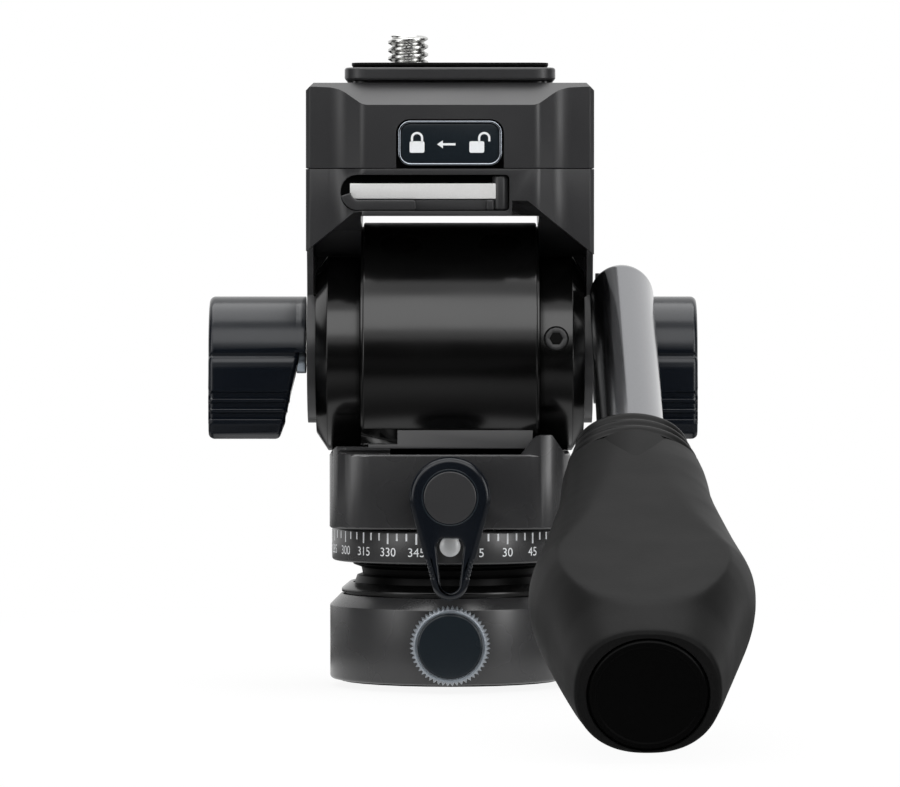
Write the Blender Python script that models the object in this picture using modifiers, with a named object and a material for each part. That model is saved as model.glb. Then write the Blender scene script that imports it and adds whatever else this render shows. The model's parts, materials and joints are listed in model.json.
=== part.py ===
"""Compact fluid video head: levelling base, pan and tilt, quick-release clamp and pan handle.

Metres, +Z up. The origin is on the pan axis in the plane of the base's underside. The operator
and the handle are on the -Y side, and the tilt axis lies along X.
"""
import math

import bmesh
import bpy
from mathutils import Matrix, Vector

MM = 0.001

# Clearances
RUN_GAP = 0.3 * MM
FIT_GAP = 0.25 * MM
OVERRUN = 2.0 * MM
WELD_DISTANCE = 0.002 * MM

# Facets round a full turn
FINE_STEPS = 28
MID_STEPS = 20
SMALL_STEPS = 10

# Levelling base
BASE_RADIUS = 18.95 * MM
BASE_HEIGHT = 13.7 * MM
BASE_SHOULDER = 1.75 * MM
BASE_UNDERCUT = 0.3 * MM
BASE_EDGE = 0.4 * MM
BASE_FLOOR = 3.0 * MM
PAD_CLEAR = 2.34 * MM
PAD_INSET = 1.6 * MM
PAD_DEPTH = 1.0 * MM
INSERT_BORE_RADIUS = 4.7625 * MM
INSERT_WALL = 1.3 * MM
INSERT_LENGTH = 7.0 * MM
INSERT_RECESS = 0.6 * MM
BOSS_WALL = 1.1 * MM

# Levelling ball and the collar that keeps it in
CUP_RIM = 0.4 * MM
BALL_CENTRE_HEIGHT = 11.0 * MM
BALL_CUT_HEIGHT = 5.0 * MM
SLIP_RING_THICKNESS = 0.5 * MM
SLIP_RING_LOW = 5.6 * MM
SLIP_RING_HIGH = 9.2 * MM
COLLAR_SET_BACK = 0.1 * MM
COLLAR_RIM = 0.55 * MM
COLLAR_RISE = 1.45 * MM
COLLAR_LIP = 0.2 * MM
COLLAR_SKIRT = 1.9 * MM
BALL_POCKET_RADIUS = 9.2 * MM
BALL_POCKET_HEIGHT = 12.0 * MM
NECK_WAIST = 0.5 * MM
NECK_FOOT_HEIGHT = 17.6 * MM
NECK_FLARE = 1.1 * MM
NECK_SHELF = 2.7 * MM

# Knurled knob that locks the ball
KNOB_HEIGHT = 6.6 * MM
KNOB_RADIUS = 6.25 * MM
KNOB_TOOTH_DEPTH = 0.5 * MM
KNOB_TEETH = 36
KNOB_THICKNESS = 3.0 * MM
KNOB_CHAMFER = 0.8 * MM
KNOB_FACE_RADIUS = 5.0 * MM
KNOB_CAP_THICKNESS = 0.5 * MM
KNOB_SCREW_RADIUS = 2.0 * MM
KNOB_BUSH_RADIUS = 3.0 * MM

# Scale ring and pan bearing
SCALE_SET_BACK = 0.3 * MM
SCALE_LOW = 19.0 * MM
SCALE_THICKNESS = 5.3 * MM
SCALE_EDGE = 0.35 * MM
STUD_RADIUS = 1.6 * MM
STUD_DOME = 0.6 * MM
STUD_SHANK_RADIUS = 0.8 * MM
STUD_SHANK_LENGTH = 2.2 * MM
STUD_DROP = 2.2 * MM
PAN_SHAFT_RADIUS = 3.9 * MM
PAN_SHAFT_HEAD_RADIUS = 6.0 * MM
PAN_SHAFT_HEAD = 2.2 * MM
PAN_DISC_MARGIN = 1.0 * MM
PAN_DISC_THICKNESS = 1.6 * MM
PAN_BEARING_RADIUS = 8.0 * MM
PAN_BEARING_WIDTH = 2.6 * MM
PAN_BEARING_LIP = 1.2 * MM
PAN_SPRING_THICKNESS = 0.5 * MM
LOCK_DRUM_RADIUS = 6.6 * MM

# Pan housing
HOUSING_SET_BACK = 0.05 * MM
HOUSING_CORNER = 6.6 * MM
HOUSING_HEIGHT = 11.6 * MM
HOUSING_EDGE = 0.6 * MM
HOUSING_SEAT_DEPTH = 2.4 * MM
EAR_HEIGHT = 3.6 * MM
EAR_PLACE = 14.9 * MM
EAR_HALF_WIDTH = 1.0 * MM
EAR_THICKNESS = 3.4 * MM
EAR_START = 9.9 * MM
STOP_LENGTH = 9.6 * MM
STOP_DEPTH = 4.2 * MM
STOP_STEP = 1.15 * MM
STOP_SLOT = 0.55 * MM
STOP_SLOT_DEPTH = 1.6 * MM

# Pan-lock lever
LEVER_HUB_RADIUS = 6.3 * MM
LEVER_TIP_RADIUS = 2.85 * MM
LEVER_LENGTH = 13.1 * MM
LEVER_HUB_RISE = 5.2 * MM
LEVER_STAND_OFF = 3.5 * MM
LEVER_THICKNESS = 2.5 * MM
LEVER_BEVEL = 0.75 * MM
LEVER_BOSS_RADIUS = 5.3 * MM
LEVER_CAP_RADIUS = 4.1 * MM
LEVER_CAP_THICKNESS = 0.6 * MM
LEVER_SLOT_START = 6.3 * MM
LEVER_SLOT_WIDTH = 4.3 * MM
LEVER_SLOT_TIP_RADIUS = 1.5 * MM
LEVER_SCREW_RADIUS = 2.0 * MM
LEVER_SHOE_LENGTH = 1.8 * MM
LEVER_SHOE_RADIUS = 1.35 * MM

# Tilt barrel and what turns in it
BARREL_RADIUS = 20.6 * MM
BARREL_SEAT_SHARE = 0.849515
BARREL_WIDTH_SHARE = 0.607143
BARREL_NOTCH_PLACE = 7.5 * MM
BARREL_NOTCH_LOW = 4.0 * MM
BARREL_NOTCH_HEIGHT = 2.3 * MM
BARREL_NOTCH_DEPTH = 14.3 * MM
BARREL_EDGE = 0.4 * MM
BARREL_BORE_RADIUS = 9.0 * MM
TILT_SHAFT_RADIUS = 4.0 * MM
TILT_STUD_RADIUS = 2.0 * MM
TILT_STUD_REACH = 10.5 * MM
TILT_BEARING_WIDTH = 3.6 * MM
DAMPER_THICKNESS = 2.2 * MM
COIL_WIRE_RADIUS = 0.6 * MM
COIL_TURNS = 3
COIL_STEPS = 10
BARREL_BOLT_RADIUS = 1.5 * MM
BARREL_BOLT_HEAD_RADIUS = 2.6 * MM
BARREL_BOLT_HEAD = 1.8 * MM
BARREL_BOLT_GRIP = 4.5 * MM
BARREL_BOLT_SHARES = (0.6985, 0.34)

# Hub rings at the barrel's ends
RING_CHAMFER_RADIAL = 2.4 * MM
RING_CHAMFER_AXIAL = 1.6 * MM
SET_SCREW_RADIUS = 1.75 * MM
SET_SCREW_LENGTH = 5.5 * MM
SET_SCREW_HEX_RADIUS = 1.1 * MM
SET_SCREW_HEX_DEPTH = 1.4 * MM
SET_SCREW_ANGLE = math.radians(9.6)

# Tilting yoke
YOKE_WIDTH = 44.8 * MM
YOKE_PROUD = 0.4 * MM
ARM_PLATE = 1.3 * MM
ARM_DISC_ANGLES = (35, -215)
YOKE_DRUM_GAP = 1.05 * MM
YOKE_BLOCK_HEIGHT = 7.3 * MM
ARM_RADIUS = 11.0 * MM
ARM_WAIST = 16.0 * MM
ARM_WAIST_RISE = 9.3 * MM
SCOOP_RADIUS = 13.0 * MM
DIAGONAL_START = 0.95 * MM
DIAGONAL_RUN = 8.6 * MM
DIAGONAL_RISE = 6.9 * MM
CHEEK_WEB = 1.75 * MM
CHEEK_STEP = 1.65 * MM
CHEEK_START = 9.6 * MM
CHEEK_FLAT = 2.3 * MM
LEVER_POCKET_LEFT = 17.0 * MM
LEVER_POCKET_RIGHT = 9.2 * MM
LEVER_POCKET_HEIGHT = 5.6 * MM
LEVER_POCKET_DEPTH = 3.6 * MM
LEVER_POCKET_LIP = 0.8 * MM

# Quick-release clamp
CLAMP_HEIGHT = 13.3 * MM
CLAMP_FLAT = 25.0 * MM
CLAMP_SET_BACK = 3.5 * MM
CLAMP_SWEEP_SHARE = 0.85
CLAMP_SLOPE_HEIGHT = 3.5 * MM
CLAMP_SLOPE_DEPTH = 4.4 * MM
CLAMP_TOP_CHAMFER = 1.2 * MM
BUTTON_WIDTH = 16.1 * MM
BUTTON_HEIGHT = 7.0 * MM
BUTTON_CORNER = 1.9 * MM
BUTTON_THICKNESS = 2.6 * MM
BUTTON_RIM = 0.45 * MM
BUTTON_RIM_DEPTH = 0.35 * MM
BUTTON_TRAVEL = 1.2 * MM
BUTTON_SPRING_RADIUS = 2.0 * MM
BUTTON_SPRING_LENGTH = 2.6 * MM
CLAMP_BOLT_RADIUS = 2.0 * MM
CLAMP_BOLT_HEAD_RADIUS = 3.4 * MM
CLAMP_BOLT_HEAD = 2.2 * MM
CLAMP_BOLT_GRIP = 5.0 * MM
CLAMP_BOLT_X = 8.0 * MM
CLAMP_BOLT_Y = 9.0 * MM
RELEASE_BAR_LENGTH = 22.4 * MM
RELEASE_BAR_HEIGHT = 2.5 * MM
RELEASE_BAR_THICKNESS = 2.2 * MM
RELEASE_TAB_WIDTH = 2.7 * MM
RELEASE_PIN_RADIUS = 0.75 * MM

# Quick-release plate, pad and camera screw
PLATE_WIDTH = 32.8 * MM
PLATE_DEPTH = 38.0 * MM
PLATE_CORNER = 3.6 * MM
PLATE_THICKNESS = 2.0 * MM
PLATE_FOOT_HEIGHT = 3.0 * MM
PLATE_FOOT_WIDTH = 30.0 * MM
PLATE_FOOT_DEPTH = 33.0 * MM
PLATE_EDGE = 0.6 * MM
PAD_MARGIN = 1.1 * MM
PAD_THICKNESS = 0.5 * MM
SCREW_OFFSET = 6.6 * MM
SCREW_RADIUS = 3.175 * MM
SCREW_PITCH = 1.27 * MM
SCREW_STAND = 4.6 * MM
SCREW_HEAD_RADIUS = 6.4 * MM
SCREW_HEAD_THICKNESS = 2.0 * MM
SCREW_SLOT_WIDTH = 1.3 * MM
SCREW_SLOT_DEPTH = 0.9 * MM
JAW_WIDTH = 12.0 * MM
JAW_HEIGHT = 1.2 * MM
JAW_LENGTH = 4.4 * MM
JAW_BITE = 0.9 * MM
JAW_TRAVEL = 1.6 * MM

# Lock levers on the tilt axis
GRIP_LEVER_RADIUS = 8.95 * MM
GRIP_LEVER_HEAD_ANGLES = (-40, 180)
GRIP_LEVER_DROP = 13.4 * MM
GRIP_LEVER_WIDTH = 14.25 * MM
GRIP_LEVER_NECK = 0.95 * MM
GRIP_LEVER_TAPER = 2.9 * MM
GRIP_LEVER_NECK_RADIUS = 3.2 * MM
GRIP_LEVER_EDGE = 0.7 * MM
GRIP_GROOVE_PITCH = 1.55 * MM
GRIP_GROOVE_TOP = 6.0 * MM
GRIP_CAP_RADIUS = 4.4 * MM
GRIP_CAP_THICKNESS = 0.5 * MM
GRIP_GROOVE_DEPTH = 0.45 * MM
GRIP_GROOVE_HEIGHT = 0.75 * MM
GRIP_GROOVES = 3
CLAMP_LEVER_WIDTH = 11.5 * MM

# Pan handle
LUG_RADIUS = 8.0 * MM
LUG_THICKNESS = 4.35 * MM
LUG_ARM_UPPER = 1.9 * MM
LUG_ARM_LOWER = 5.3 * MM
LUG_STUD_RADIUS = 1.8 * MM
LUG_STUD_LENGTH = 3.6 * MM
ROD_RADIUS = 4.95 * MM
ROD_STAND_OUT = 4.3 * MM
ROD_REACH = 15.5 * MM
ROD_RISE = 9.1 * MM
ROD_SLOPE = math.radians(20.6)
HANDLE_LENGTH = 148.0 * MM
GRIP_START = 60.5 * MM
SLEEVE_START = 72.5 * MM
GRIP_HALF_WIDTH = 16.0 * MM
GRIP_THUMB_HEIGHT = 9.2 * MM
GRIP_BELLY = 12.8 * MM
GRIP_CORE_RADIUS = 7.4 * MM
ROD_INSERT = 22.0 * MM
COLLAR_RIDGE = 0.35 * MM
COLLAR_RIDGES = 3
END_CAP_RADIUS = 8.1 * MM
END_CAP_THICKNESS = 1.2 * MM
CAP_PLUG_RADIUS = 2.0 * MM
CAP_PLUG_LENGTH = 9.0 * MM

# Heights that follow from the stack
BALL_SEAT_RADIUS = BASE_RADIUS - BASE_SHOULDER - CUP_RIM
BALL_RADIUS = BALL_SEAT_RADIUS - 2 * RUN_GAP - SLIP_RING_THICKNESS
COLLAR_RADIUS = BASE_RADIUS - BASE_SHOULDER - COLLAR_SET_BACK
NECK_FOOT_RADIUS = BALL_RADIUS - NECK_WAIST
NECK_TOP_RADIUS = NECK_FOOT_RADIUS + NECK_FLARE
BALL_HUB_RADIUS = NECK_TOP_RADIUS - NECK_SHELF
SCALE_RADIUS = BASE_RADIUS - SCALE_SET_BACK
PAN_DISC_RADIUS = BALL_HUB_RADIUS - PAN_DISC_MARGIN
HOUSING_WIDTH = 2 * (BASE_RADIUS - HOUSING_SET_BACK)
NECK_TOP_HEIGHT = SCALE_LOW - RUN_GAP
SCALE_TOP = SCALE_LOW + SCALE_THICKNESS
HOUSING_LOW = SCALE_TOP + RUN_GAP
HOUSING_TOP = HOUSING_LOW + HOUSING_HEIGHT
HOUSING_SEAT = HOUSING_TOP - HOUSING_SEAT_DEPTH
HALF_HOUSING = HOUSING_WIDTH / 2
LEVER_HEIGHT = HOUSING_LOW + LEVER_HUB_RISE
PAN_DISC_TOP = HOUSING_LOW - RUN_GAP
BALL_HUB_TOP = PAN_DISC_TOP - PAN_DISC_THICKNESS - RUN_GAP
PAN_BORE_RADIUS = PAN_BEARING_RADIUS + FIT_GAP
PAN_BEARING_LOW = HOUSING_LOW + 3 * RUN_GAP
PAN_SPRING_LOW = PAN_BEARING_LOW + PAN_BEARING_WIDTH + RUN_GAP
LOCK_DRUM_LOW = PAN_SPRING_LOW + PAN_SPRING_THICKNESS + RUN_GAP
LOCK_DRUM_TOP = HOUSING_SEAT - RUN_GAP
TILT_HEIGHT = HOUSING_SEAT + RUN_GAP + BARREL_SEAT_SHARE * BARREL_RADIUS
HALF_YOKE = YOKE_WIDTH / 2
HALF_BARREL = BARREL_WIDTH_SHARE * HALF_YOKE
RING_RADIUS = TILT_HEIGHT - HOUSING_TOP - RUN_GAP
RING_IN = HALF_BARREL + RUN_GAP
RING_OUT = HALF_YOKE - ARM_PLATE - RUN_GAP
YOKE_FRONT = BARREL_RADIUS + YOKE_PROUD
YOKE_DEPTH = 2 * YOKE_FRONT
YOKE_LOW = TILT_HEIGHT + BARREL_RADIUS + YOKE_DRUM_GAP
YOKE_TOP = YOKE_LOW + YOKE_BLOCK_HEIGHT
CLAMP_LOW = YOKE_TOP + FIT_GAP
CLAMP_TOP = CLAMP_LOW + CLAMP_HEIGHT
PLATE_LOW = CLAMP_TOP + FIT_GAP
PLATE_TOP = PLATE_LOW + PLATE_THICKNESS
PAD_TOP = PLATE_TOP + FIT_GAP + PAD_THICKNESS
FOOT_LOW = PLATE_LOW - PLATE_FOOT_HEIGHT
SOCKET_FLOOR = FOOT_LOW - RUN_GAP
TILT_AXIS = Vector((0, 0, TILT_HEIGHT))
ROD_CORNER = Vector((HALF_YOKE + ROD_STAND_OUT, -ROD_REACH, TILT_HEIGHT + ROD_RISE))

# The grip's sections: place along the sleeve, half width, thumb side, belly, thumb flat
GRIP_SECTION_SHARES = (
    (0.0, 0.62, 0.74, 0.59, 0.82), (0.1, 0.665, 0.82, 0.67, 0.82), (0.23, 0.72, 0.895, 0.78, 0.87),
    (0.365, 0.82, 0.99, 0.875, 0.925), (0.47, 0.9, 1.09, 0.94, 0.965), (0.55, 0.985, 1.195, 0.98, 0.995),
    (0.605, 0.985, 1.34, 0.995, 1.02), (0.68, 0.915, 1.565, 1.0, 1.045), (0.76, 0.84, 1.565, 0.99, 1.075),
    (0.83, 0.775, 1.36, 0.945, 1.105), (0.88, 0.73, 1.16, 0.885, 1.13), (0.935, 0.685, 1.085, 0.79, 1.15),
    (0.975, 0.635, 1.045, 0.715, 1.17), (1.0, 0.6, 1.0, 0.665, 1.19))
GRIP_ROUNDNESS = 0.85
# The collar's sections: place between its ends, half width, half height
COLLAR_SECTION_SHARES = ((0.0, 0.495, 0.4), (0.35, 0.53, 0.455), (0.7, 0.575, 0.51), (1.0, 0.61, 0.555))
# The grip levers' front and toe: depth and drop
PADDLE_SHARES = ((-0.93, -0.01), (-0.99, -0.045), (-1.045, -0.13), (-1.08, -0.26), (-1.085, -0.4),
                 (-1.07, -0.82), (-1.02, -0.93), (-0.88, -0.99), (-0.6, -1.0), (-0.2, -0.985),
                 (0.05, -0.92), (0.3, -0.78), (0.52, -0.60))
GROOVE_FACE_SHARE = 1.075
# The stud's dome: radius and height
STUD_DOME_SHARES = ((0.0, 1.0), (0.5, 0.85), (0.85, 0.5), (1.0, 0.0))
# The camera screw's ridge within one pitch: where its crest starts and ends, and its foot
THREAD_RIDGE_SHARES = (0.3, 0.45, 0.75)
SPRING_BORE_SHARE = 0.7
COIL_PITCH_SHARE = 3.0

# Turns that carry a piece's own Z axis onto a world axis
SIDEWAYS = Matrix(((0, 0, 1, 0), (1, 0, 0, 0), (0, 1, 0, 0), (0, 0, 0, 1)))
ALONG_X = Matrix.Rotation(math.pi / 2, 4, 'Y')
ALONG_MINUS_X = Matrix.Rotation(-math.pi / 2, 4, 'Y')
ALONG_MINUS_Y = Matrix.Rotation(math.pi / 2, 4, 'X')
ALONG_Z = Matrix.Identity(4)

# Finishes: colour, metallic, roughness
FINISHES = {
    'anodised_black': ((0.012, 0.012, 0.013), 0.7, 0.35),
    'gloss_blue_black': ((0.016, 0.021, 0.030), 0.8, 0.22),
    'rubber': ((0.020, 0.020, 0.020), 0.0, 0.65),
    'moulded_black': ((0.010, 0.010, 0.010), 0.0, 0.5),
    'steel': ((0.60, 0.60, 0.60), 1.0, 0.25),
    'grey_tube': ((0.16, 0.16, 0.16), 0.9, 0.3),
    'brass': ((0.62, 0.44, 0.18), 1.0, 0.35),
    'acetal': ((0.75, 0.74, 0.70), 0.0, 0.45),
}


def collection(name):
    """Make a collection in the scene."""
    made = bpy.data.collections.new(name)
    bpy.context.scene.collection.children.link(made)
    return made


def material(finish):
    """The Principled material of one finish, made once."""
    found = bpy.data.materials.get(finish)
    if found:
        return found
    colour, metallic, roughness = FINISHES[finish]
    made = bpy.data.materials.new(finish)
    made.use_nodes = True
    shader = made.node_tree.nodes['Principled BSDF']
    shader.inputs['Base Color'].default_value = (*colour, 1)
    shader.inputs['Metallic'].default_value = metallic
    shader.inputs['Roughness'].default_value = roughness
    return made


def add(name, mesh, finish=None, place=ALONG_Z):
    """Link a mesh as a part of the head, or as a cutter when it has no finish."""
    piece = bpy.data.objects.new(name, mesh)
    piece.matrix_world = place
    if finish:
        PARTS.objects.link(piece)
        mesh.materials.append(material(finish))
        mesh.shade_smooth()
        mesh.set_sharp_from_angle(angle=math.radians(35))
    else:
        CUTTERS.objects.link(piece)
        piece.hide_render = True
        piece.display_type = 'WIRE'
    return piece


def turned(name, profile, finish=None, place=ALONG_Z, steps=FINE_STEPS, closed=False):
    """Turn a profile of (radius, height) about Z. It runs from the top down its outer side."""
    verts = [(radius, 0, height) for radius, height in profile]
    edges = [(i, i + 1) for i in range(len(verts) - 1)]
    if closed:
        edges.append((len(verts) - 1, 0))
    mesh = bpy.data.meshes.new(name)
    mesh.from_pydata(verts, edges, [])
    piece = add(name, mesh, finish, place)
    screw = piece.modifiers.new('turn', 'SCREW')
    screw.steps = steps
    screw.render_steps = steps
    screw.use_merge_vertices = True
    screw.merge_threshold = WELD_DISTANCE
    screw.use_smooth_shade = False
    return piece


def cylinder(name, radius, low, high, finish=None, place=ALONG_Z, steps=MID_STEPS, edge=0.0):
    """A turned cylinder between two heights, with a chamfer at both ends where edge is set."""
    profile = [(0, high), (radius - edge, high), (radius, high - edge),
               (radius, low + edge), (radius - edge, low), (0, low)]
    if not edge:
        profile = [(0, high), (radius, high), (radius, low), (0, low)]
    return turned(name, profile, finish, place, steps)


def tube(name, outer, inner, low, high, finish=None, place=ALONG_Z, steps=MID_STEPS):
    """A turned ring of rectangular section."""
    profile = [(inner, high), (outer, high), (outer, low), (inner, low)]
    return turned(name, profile, finish, place, steps, closed=True)


def arc(centre, radius, start, end, steps):
    """Points on a circle from one angle to another, in degrees, both ends included."""
    angles = [math.radians(start + (end - start) * i / steps) for i in range(steps + 1)]
    return [(centre[0] + radius * math.cos(a), centre[1] + radius * math.sin(a)) for a in angles]


def rounded_rectangle(width, height, corner, steps=4, centre=(0, 0)):
    """The outline of a rectangle with round corners."""
    x = width / 2 - corner
    y = height / 2 - corner
    points = []
    for i, (sx, sy) in enumerate(((1, 1), (-1, 1), (-1, -1), (1, -1))):
        points += arc((centre[0] + sx * x, centre[1] + sy * y), corner, 90 * i, 90 * i + 90, steps)
    return points


def slab(name, outlines, low, high, finish=None, place=ALONG_Z):
    """A flat outline in X and Y, with its holes, filled and given a thickness along Z."""
    curve = bpy.data.curves.new(name, 'CURVE')
    curve.dimensions = '2D'
    curve.fill_mode = 'BOTH'
    curve.extrude = (high - low) / 2
    for outline in outlines:
        spline = curve.splines.new('POLY')
        spline.points.add(len(outline) - 1)
        for point, (x, y) in zip(spline.points, outline):
            point.co = (x, y, 0, 1)
        spline.use_cyclic_u = True
    return add(name, mesh_of_curve(curve, Matrix.Translation((0, 0, (low + high) / 2))), finish, place)


def mesh_of_curve(curve, shift=ALONG_Z):
    """Turn a curve into a closed mesh: its caps are welded and its faces point out."""
    holder = bpy.data.objects.new(curve.name, curve)
    bpy.context.scene.collection.objects.link(holder)
    bpy.context.view_layer.update()
    evaluated = holder.evaluated_get(bpy.context.evaluated_depsgraph_get())
    mesh = bpy.data.meshes.new_from_object(evaluated)
    bpy.data.objects.remove(holder)
    bpy.data.curves.remove(curve)
    mesh.transform(shift)
    tidy = bmesh.new()
    tidy.from_mesh(mesh)
    bmesh.ops.remove_doubles(tidy, verts=tidy.verts, dist=WELD_DISTANCE)
    bmesh.ops.recalc_face_normals(tidy, faces=tidy.faces)
    tidy.to_mesh(mesh)
    tidy.free()
    return mesh


def boolean(piece, tool, operation='DIFFERENCE'):
    """Cut a piece with a tool, join the tool to it, or keep what they share."""
    step = piece.modifiers.new(operation.lower(), 'BOOLEAN')
    step.operation = operation
    step.object = tool
    step.solver = 'EXACT'
    return piece


def bevel(piece, width, segments=1, angle=35):
    """Round or chamfer the sharp edges of a piece."""
    step = piece.modifiers.new('edge', 'BEVEL')
    step.width = width
    step.segments = segments
    step.limit_method = 'ANGLE'
    step.angle_limit = math.radians(angle)
    step.harden_normals = False
    return piece


def at(place, offset):
    """A turn followed by a move."""
    return Matrix.Translation(offset) @ place


def body(name, origin, parent=None):
    """An empty on a joint's axis, which carries the pieces of one moving body."""
    empty = bpy.data.objects.new(name, None)
    empty.empty_display_size = BASE_RADIUS
    PARTS.objects.link(empty)
    empty.matrix_world = Matrix.Translation(origin)
    ORIGINS[empty.name] = Vector(origin)
    if parent:
        carry(parent, empty)
    return empty


def carry(carrier, *pieces):
    """Parent pieces to a body's empty and leave them where they are."""
    for piece in pieces:
        piece.parent = carrier
        piece.matrix_parent_inverse = Matrix.Translation(-ORIGINS[carrier.name])


def clear_scene():
    """Remove the objects that the file opens with."""
    for piece in list(bpy.data.objects):
        bpy.data.objects.remove(piece)


def sphere_radius(radius, height):
    """Radius of the ball's sphere of a given radius, at a height above the base."""
    rise = height - BALL_CENTRE_HEIGHT
    return math.sqrt(radius * radius - rise * rise)


def sphere_arc(radius, start_height, end_height, steps):
    """Profile points on a sphere about the ball's centre, between two heights."""
    start = math.asin((start_height - BALL_CENTRE_HEIGHT) / radius)
    end = math.asin((end_height - BALL_CENTRE_HEIGHT) / radius)
    points = []
    for i in range(steps + 1):
        angle = start + (end - start) * i / steps
        points.append((radius * math.cos(angle), BALL_CENTRE_HEIGHT + radius * math.sin(angle)))
    return points


def levelling_base():
    """The cup, its tripod thread, its rubber foot and the collar over the ball."""
    insert_radius = INSERT_BORE_RADIUS + INSERT_WALL
    bore = insert_radius + FIT_GAP
    boss = bore + BOSS_WALL
    boss_top = INSERT_RECESS + INSERT_LENGTH + RUN_GAP
    pad_out = BASE_RADIUS - PAD_INSET
    pad_in = boss + PAD_CLEAR
    pad_roof = PAD_DEPTH + RUN_GAP
    profile = [(BALL_SEAT_RADIUS, BASE_HEIGHT), (BASE_RADIUS - BASE_SHOULDER, BASE_HEIGHT),
               (BASE_RADIUS, BASE_HEIGHT - BASE_SHOULDER),
               (BASE_RADIUS, BASE_UNDERCUT + BASE_EDGE),
               (BASE_RADIUS - BASE_EDGE, BASE_UNDERCUT),
               (pad_out + RUN_GAP, BASE_UNDERCUT), (pad_out + RUN_GAP, pad_roof),
               (pad_in - RUN_GAP, pad_roof), (pad_in - RUN_GAP, BASE_UNDERCUT),
               (bore, BASE_UNDERCUT), (bore, boss_top), (boss, boss_top), (boss, BASE_FLOOR)]
    profile += sphere_arc(BALL_SEAT_RADIUS, BASE_FLOOR, BALL_CENTRE_HEIGHT, 4)
    housing = turned('base_housing', profile, 'anodised_black', closed=True)
    hole = cylinder('knob_hole', KNOB_BUSH_RADIUS + FIT_GAP, BASE_RADIUS / 2, BASE_RADIUS + OVERRUN,
                    place=at(ALONG_MINUS_Y, (0, 0, KNOB_HEIGHT)), steps=SMALL_STEPS)
    boolean(housing, hole)
    pad = tube('base_pad', pad_out, pad_in, 0, PAD_DEPTH, 'rubber', steps=FINE_STEPS)
    insert = tube('tripod_thread_insert', insert_radius, INSERT_BORE_RADIUS, INSERT_RECESS,
                  INSERT_RECESS + INSERT_LENGTH, 'steel')

    collar_low = BASE_HEIGHT + RUN_GAP
    lip_height = collar_low + COLLAR_RIM + COLLAR_RISE
    inner = BALL_RADIUS + RUN_GAP
    skirt_out = BALL_SEAT_RADIUS - FIT_GAP
    lip = sphere_radius(inner, lip_height) + COLLAR_LIP
    rim = [(lip, lip_height), (COLLAR_RADIUS, collar_low + COLLAR_RIM), (COLLAR_RADIUS, collar_low),
           (skirt_out, collar_low), (skirt_out, collar_low - COLLAR_SKIRT)]
    rim += sphere_arc(inner, collar_low - COLLAR_SKIRT, lip_height, 3)
    collar = turned('ball_collar', rim, 'anodised_black', closed=True)

    bush_in = sphere_radius(BALL_SEAT_RADIUS, KNOB_HEIGHT + KNOB_BUSH_RADIUS) + RUN_GAP
    bush = tube('knob_bush', KNOB_BUSH_RADIUS, KNOB_SCREW_RADIUS + FIT_GAP, bush_in,
                BASE_RADIUS - FIT_GAP, 'brass', at(ALONG_MINUS_Y, (0, 0, KNOB_HEIGHT)), SMALL_STEPS)
    carry(BODIES['base'], housing, pad, insert, collar, bush)


def toothed_outline(radius, depth, teeth):
    """A fine knurl: one straight-flanked V tooth after another."""
    points = []
    for i in range(2 * teeth):
        reach = radius - depth * (i % 2)
        angle = math.pi * i / teeth
        points.append((reach * math.cos(angle), reach * math.sin(angle)))
    return points


def levelling_knob():
    """The knurled knob in the front of the base, with its screw and face disc."""
    place = at(ALONG_MINUS_Y, (0, 0, KNOB_HEIGHT))
    back = BASE_RADIUS + RUN_GAP
    front = back + KNOB_THICKNESS
    knob = slab('levelling_knob', [toothed_outline(KNOB_RADIUS, KNOB_TOOTH_DEPTH, KNOB_TEETH)],
                0, front + OVERRUN, 'gloss_blue_black', place)
    pocket = front - KNOB_CAP_THICKNESS
    screw_in = sphere_radius(BALL_SEAT_RADIUS, KNOB_HEIGHT) + RUN_GAP
    wide = KNOB_RADIUS + OVERRUN
    blank = [(0, pocket), (KNOB_FACE_RADIUS + FIT_GAP, pocket), (KNOB_FACE_RADIUS + FIT_GAP, front),
             (KNOB_RADIUS - KNOB_CHAMFER, front), (KNOB_RADIUS, front - KNOB_CHAMFER),
             (wide, front - KNOB_CHAMFER), (wide, back), (KNOB_SCREW_RADIUS, back),
             (KNOB_SCREW_RADIUS, screw_in), (0, screw_in)]
    boolean(knob, turned('knob_blank', blank, place=place, steps=MID_STEPS), 'INTERSECT')
    face = cylinder('levelling_knob_face', KNOB_FACE_RADIUS, pocket + FIT_GAP, front + FIT_GAP,
                    'gloss_blue_black', place)
    carry(BODIES['knob'], knob, face)


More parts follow.
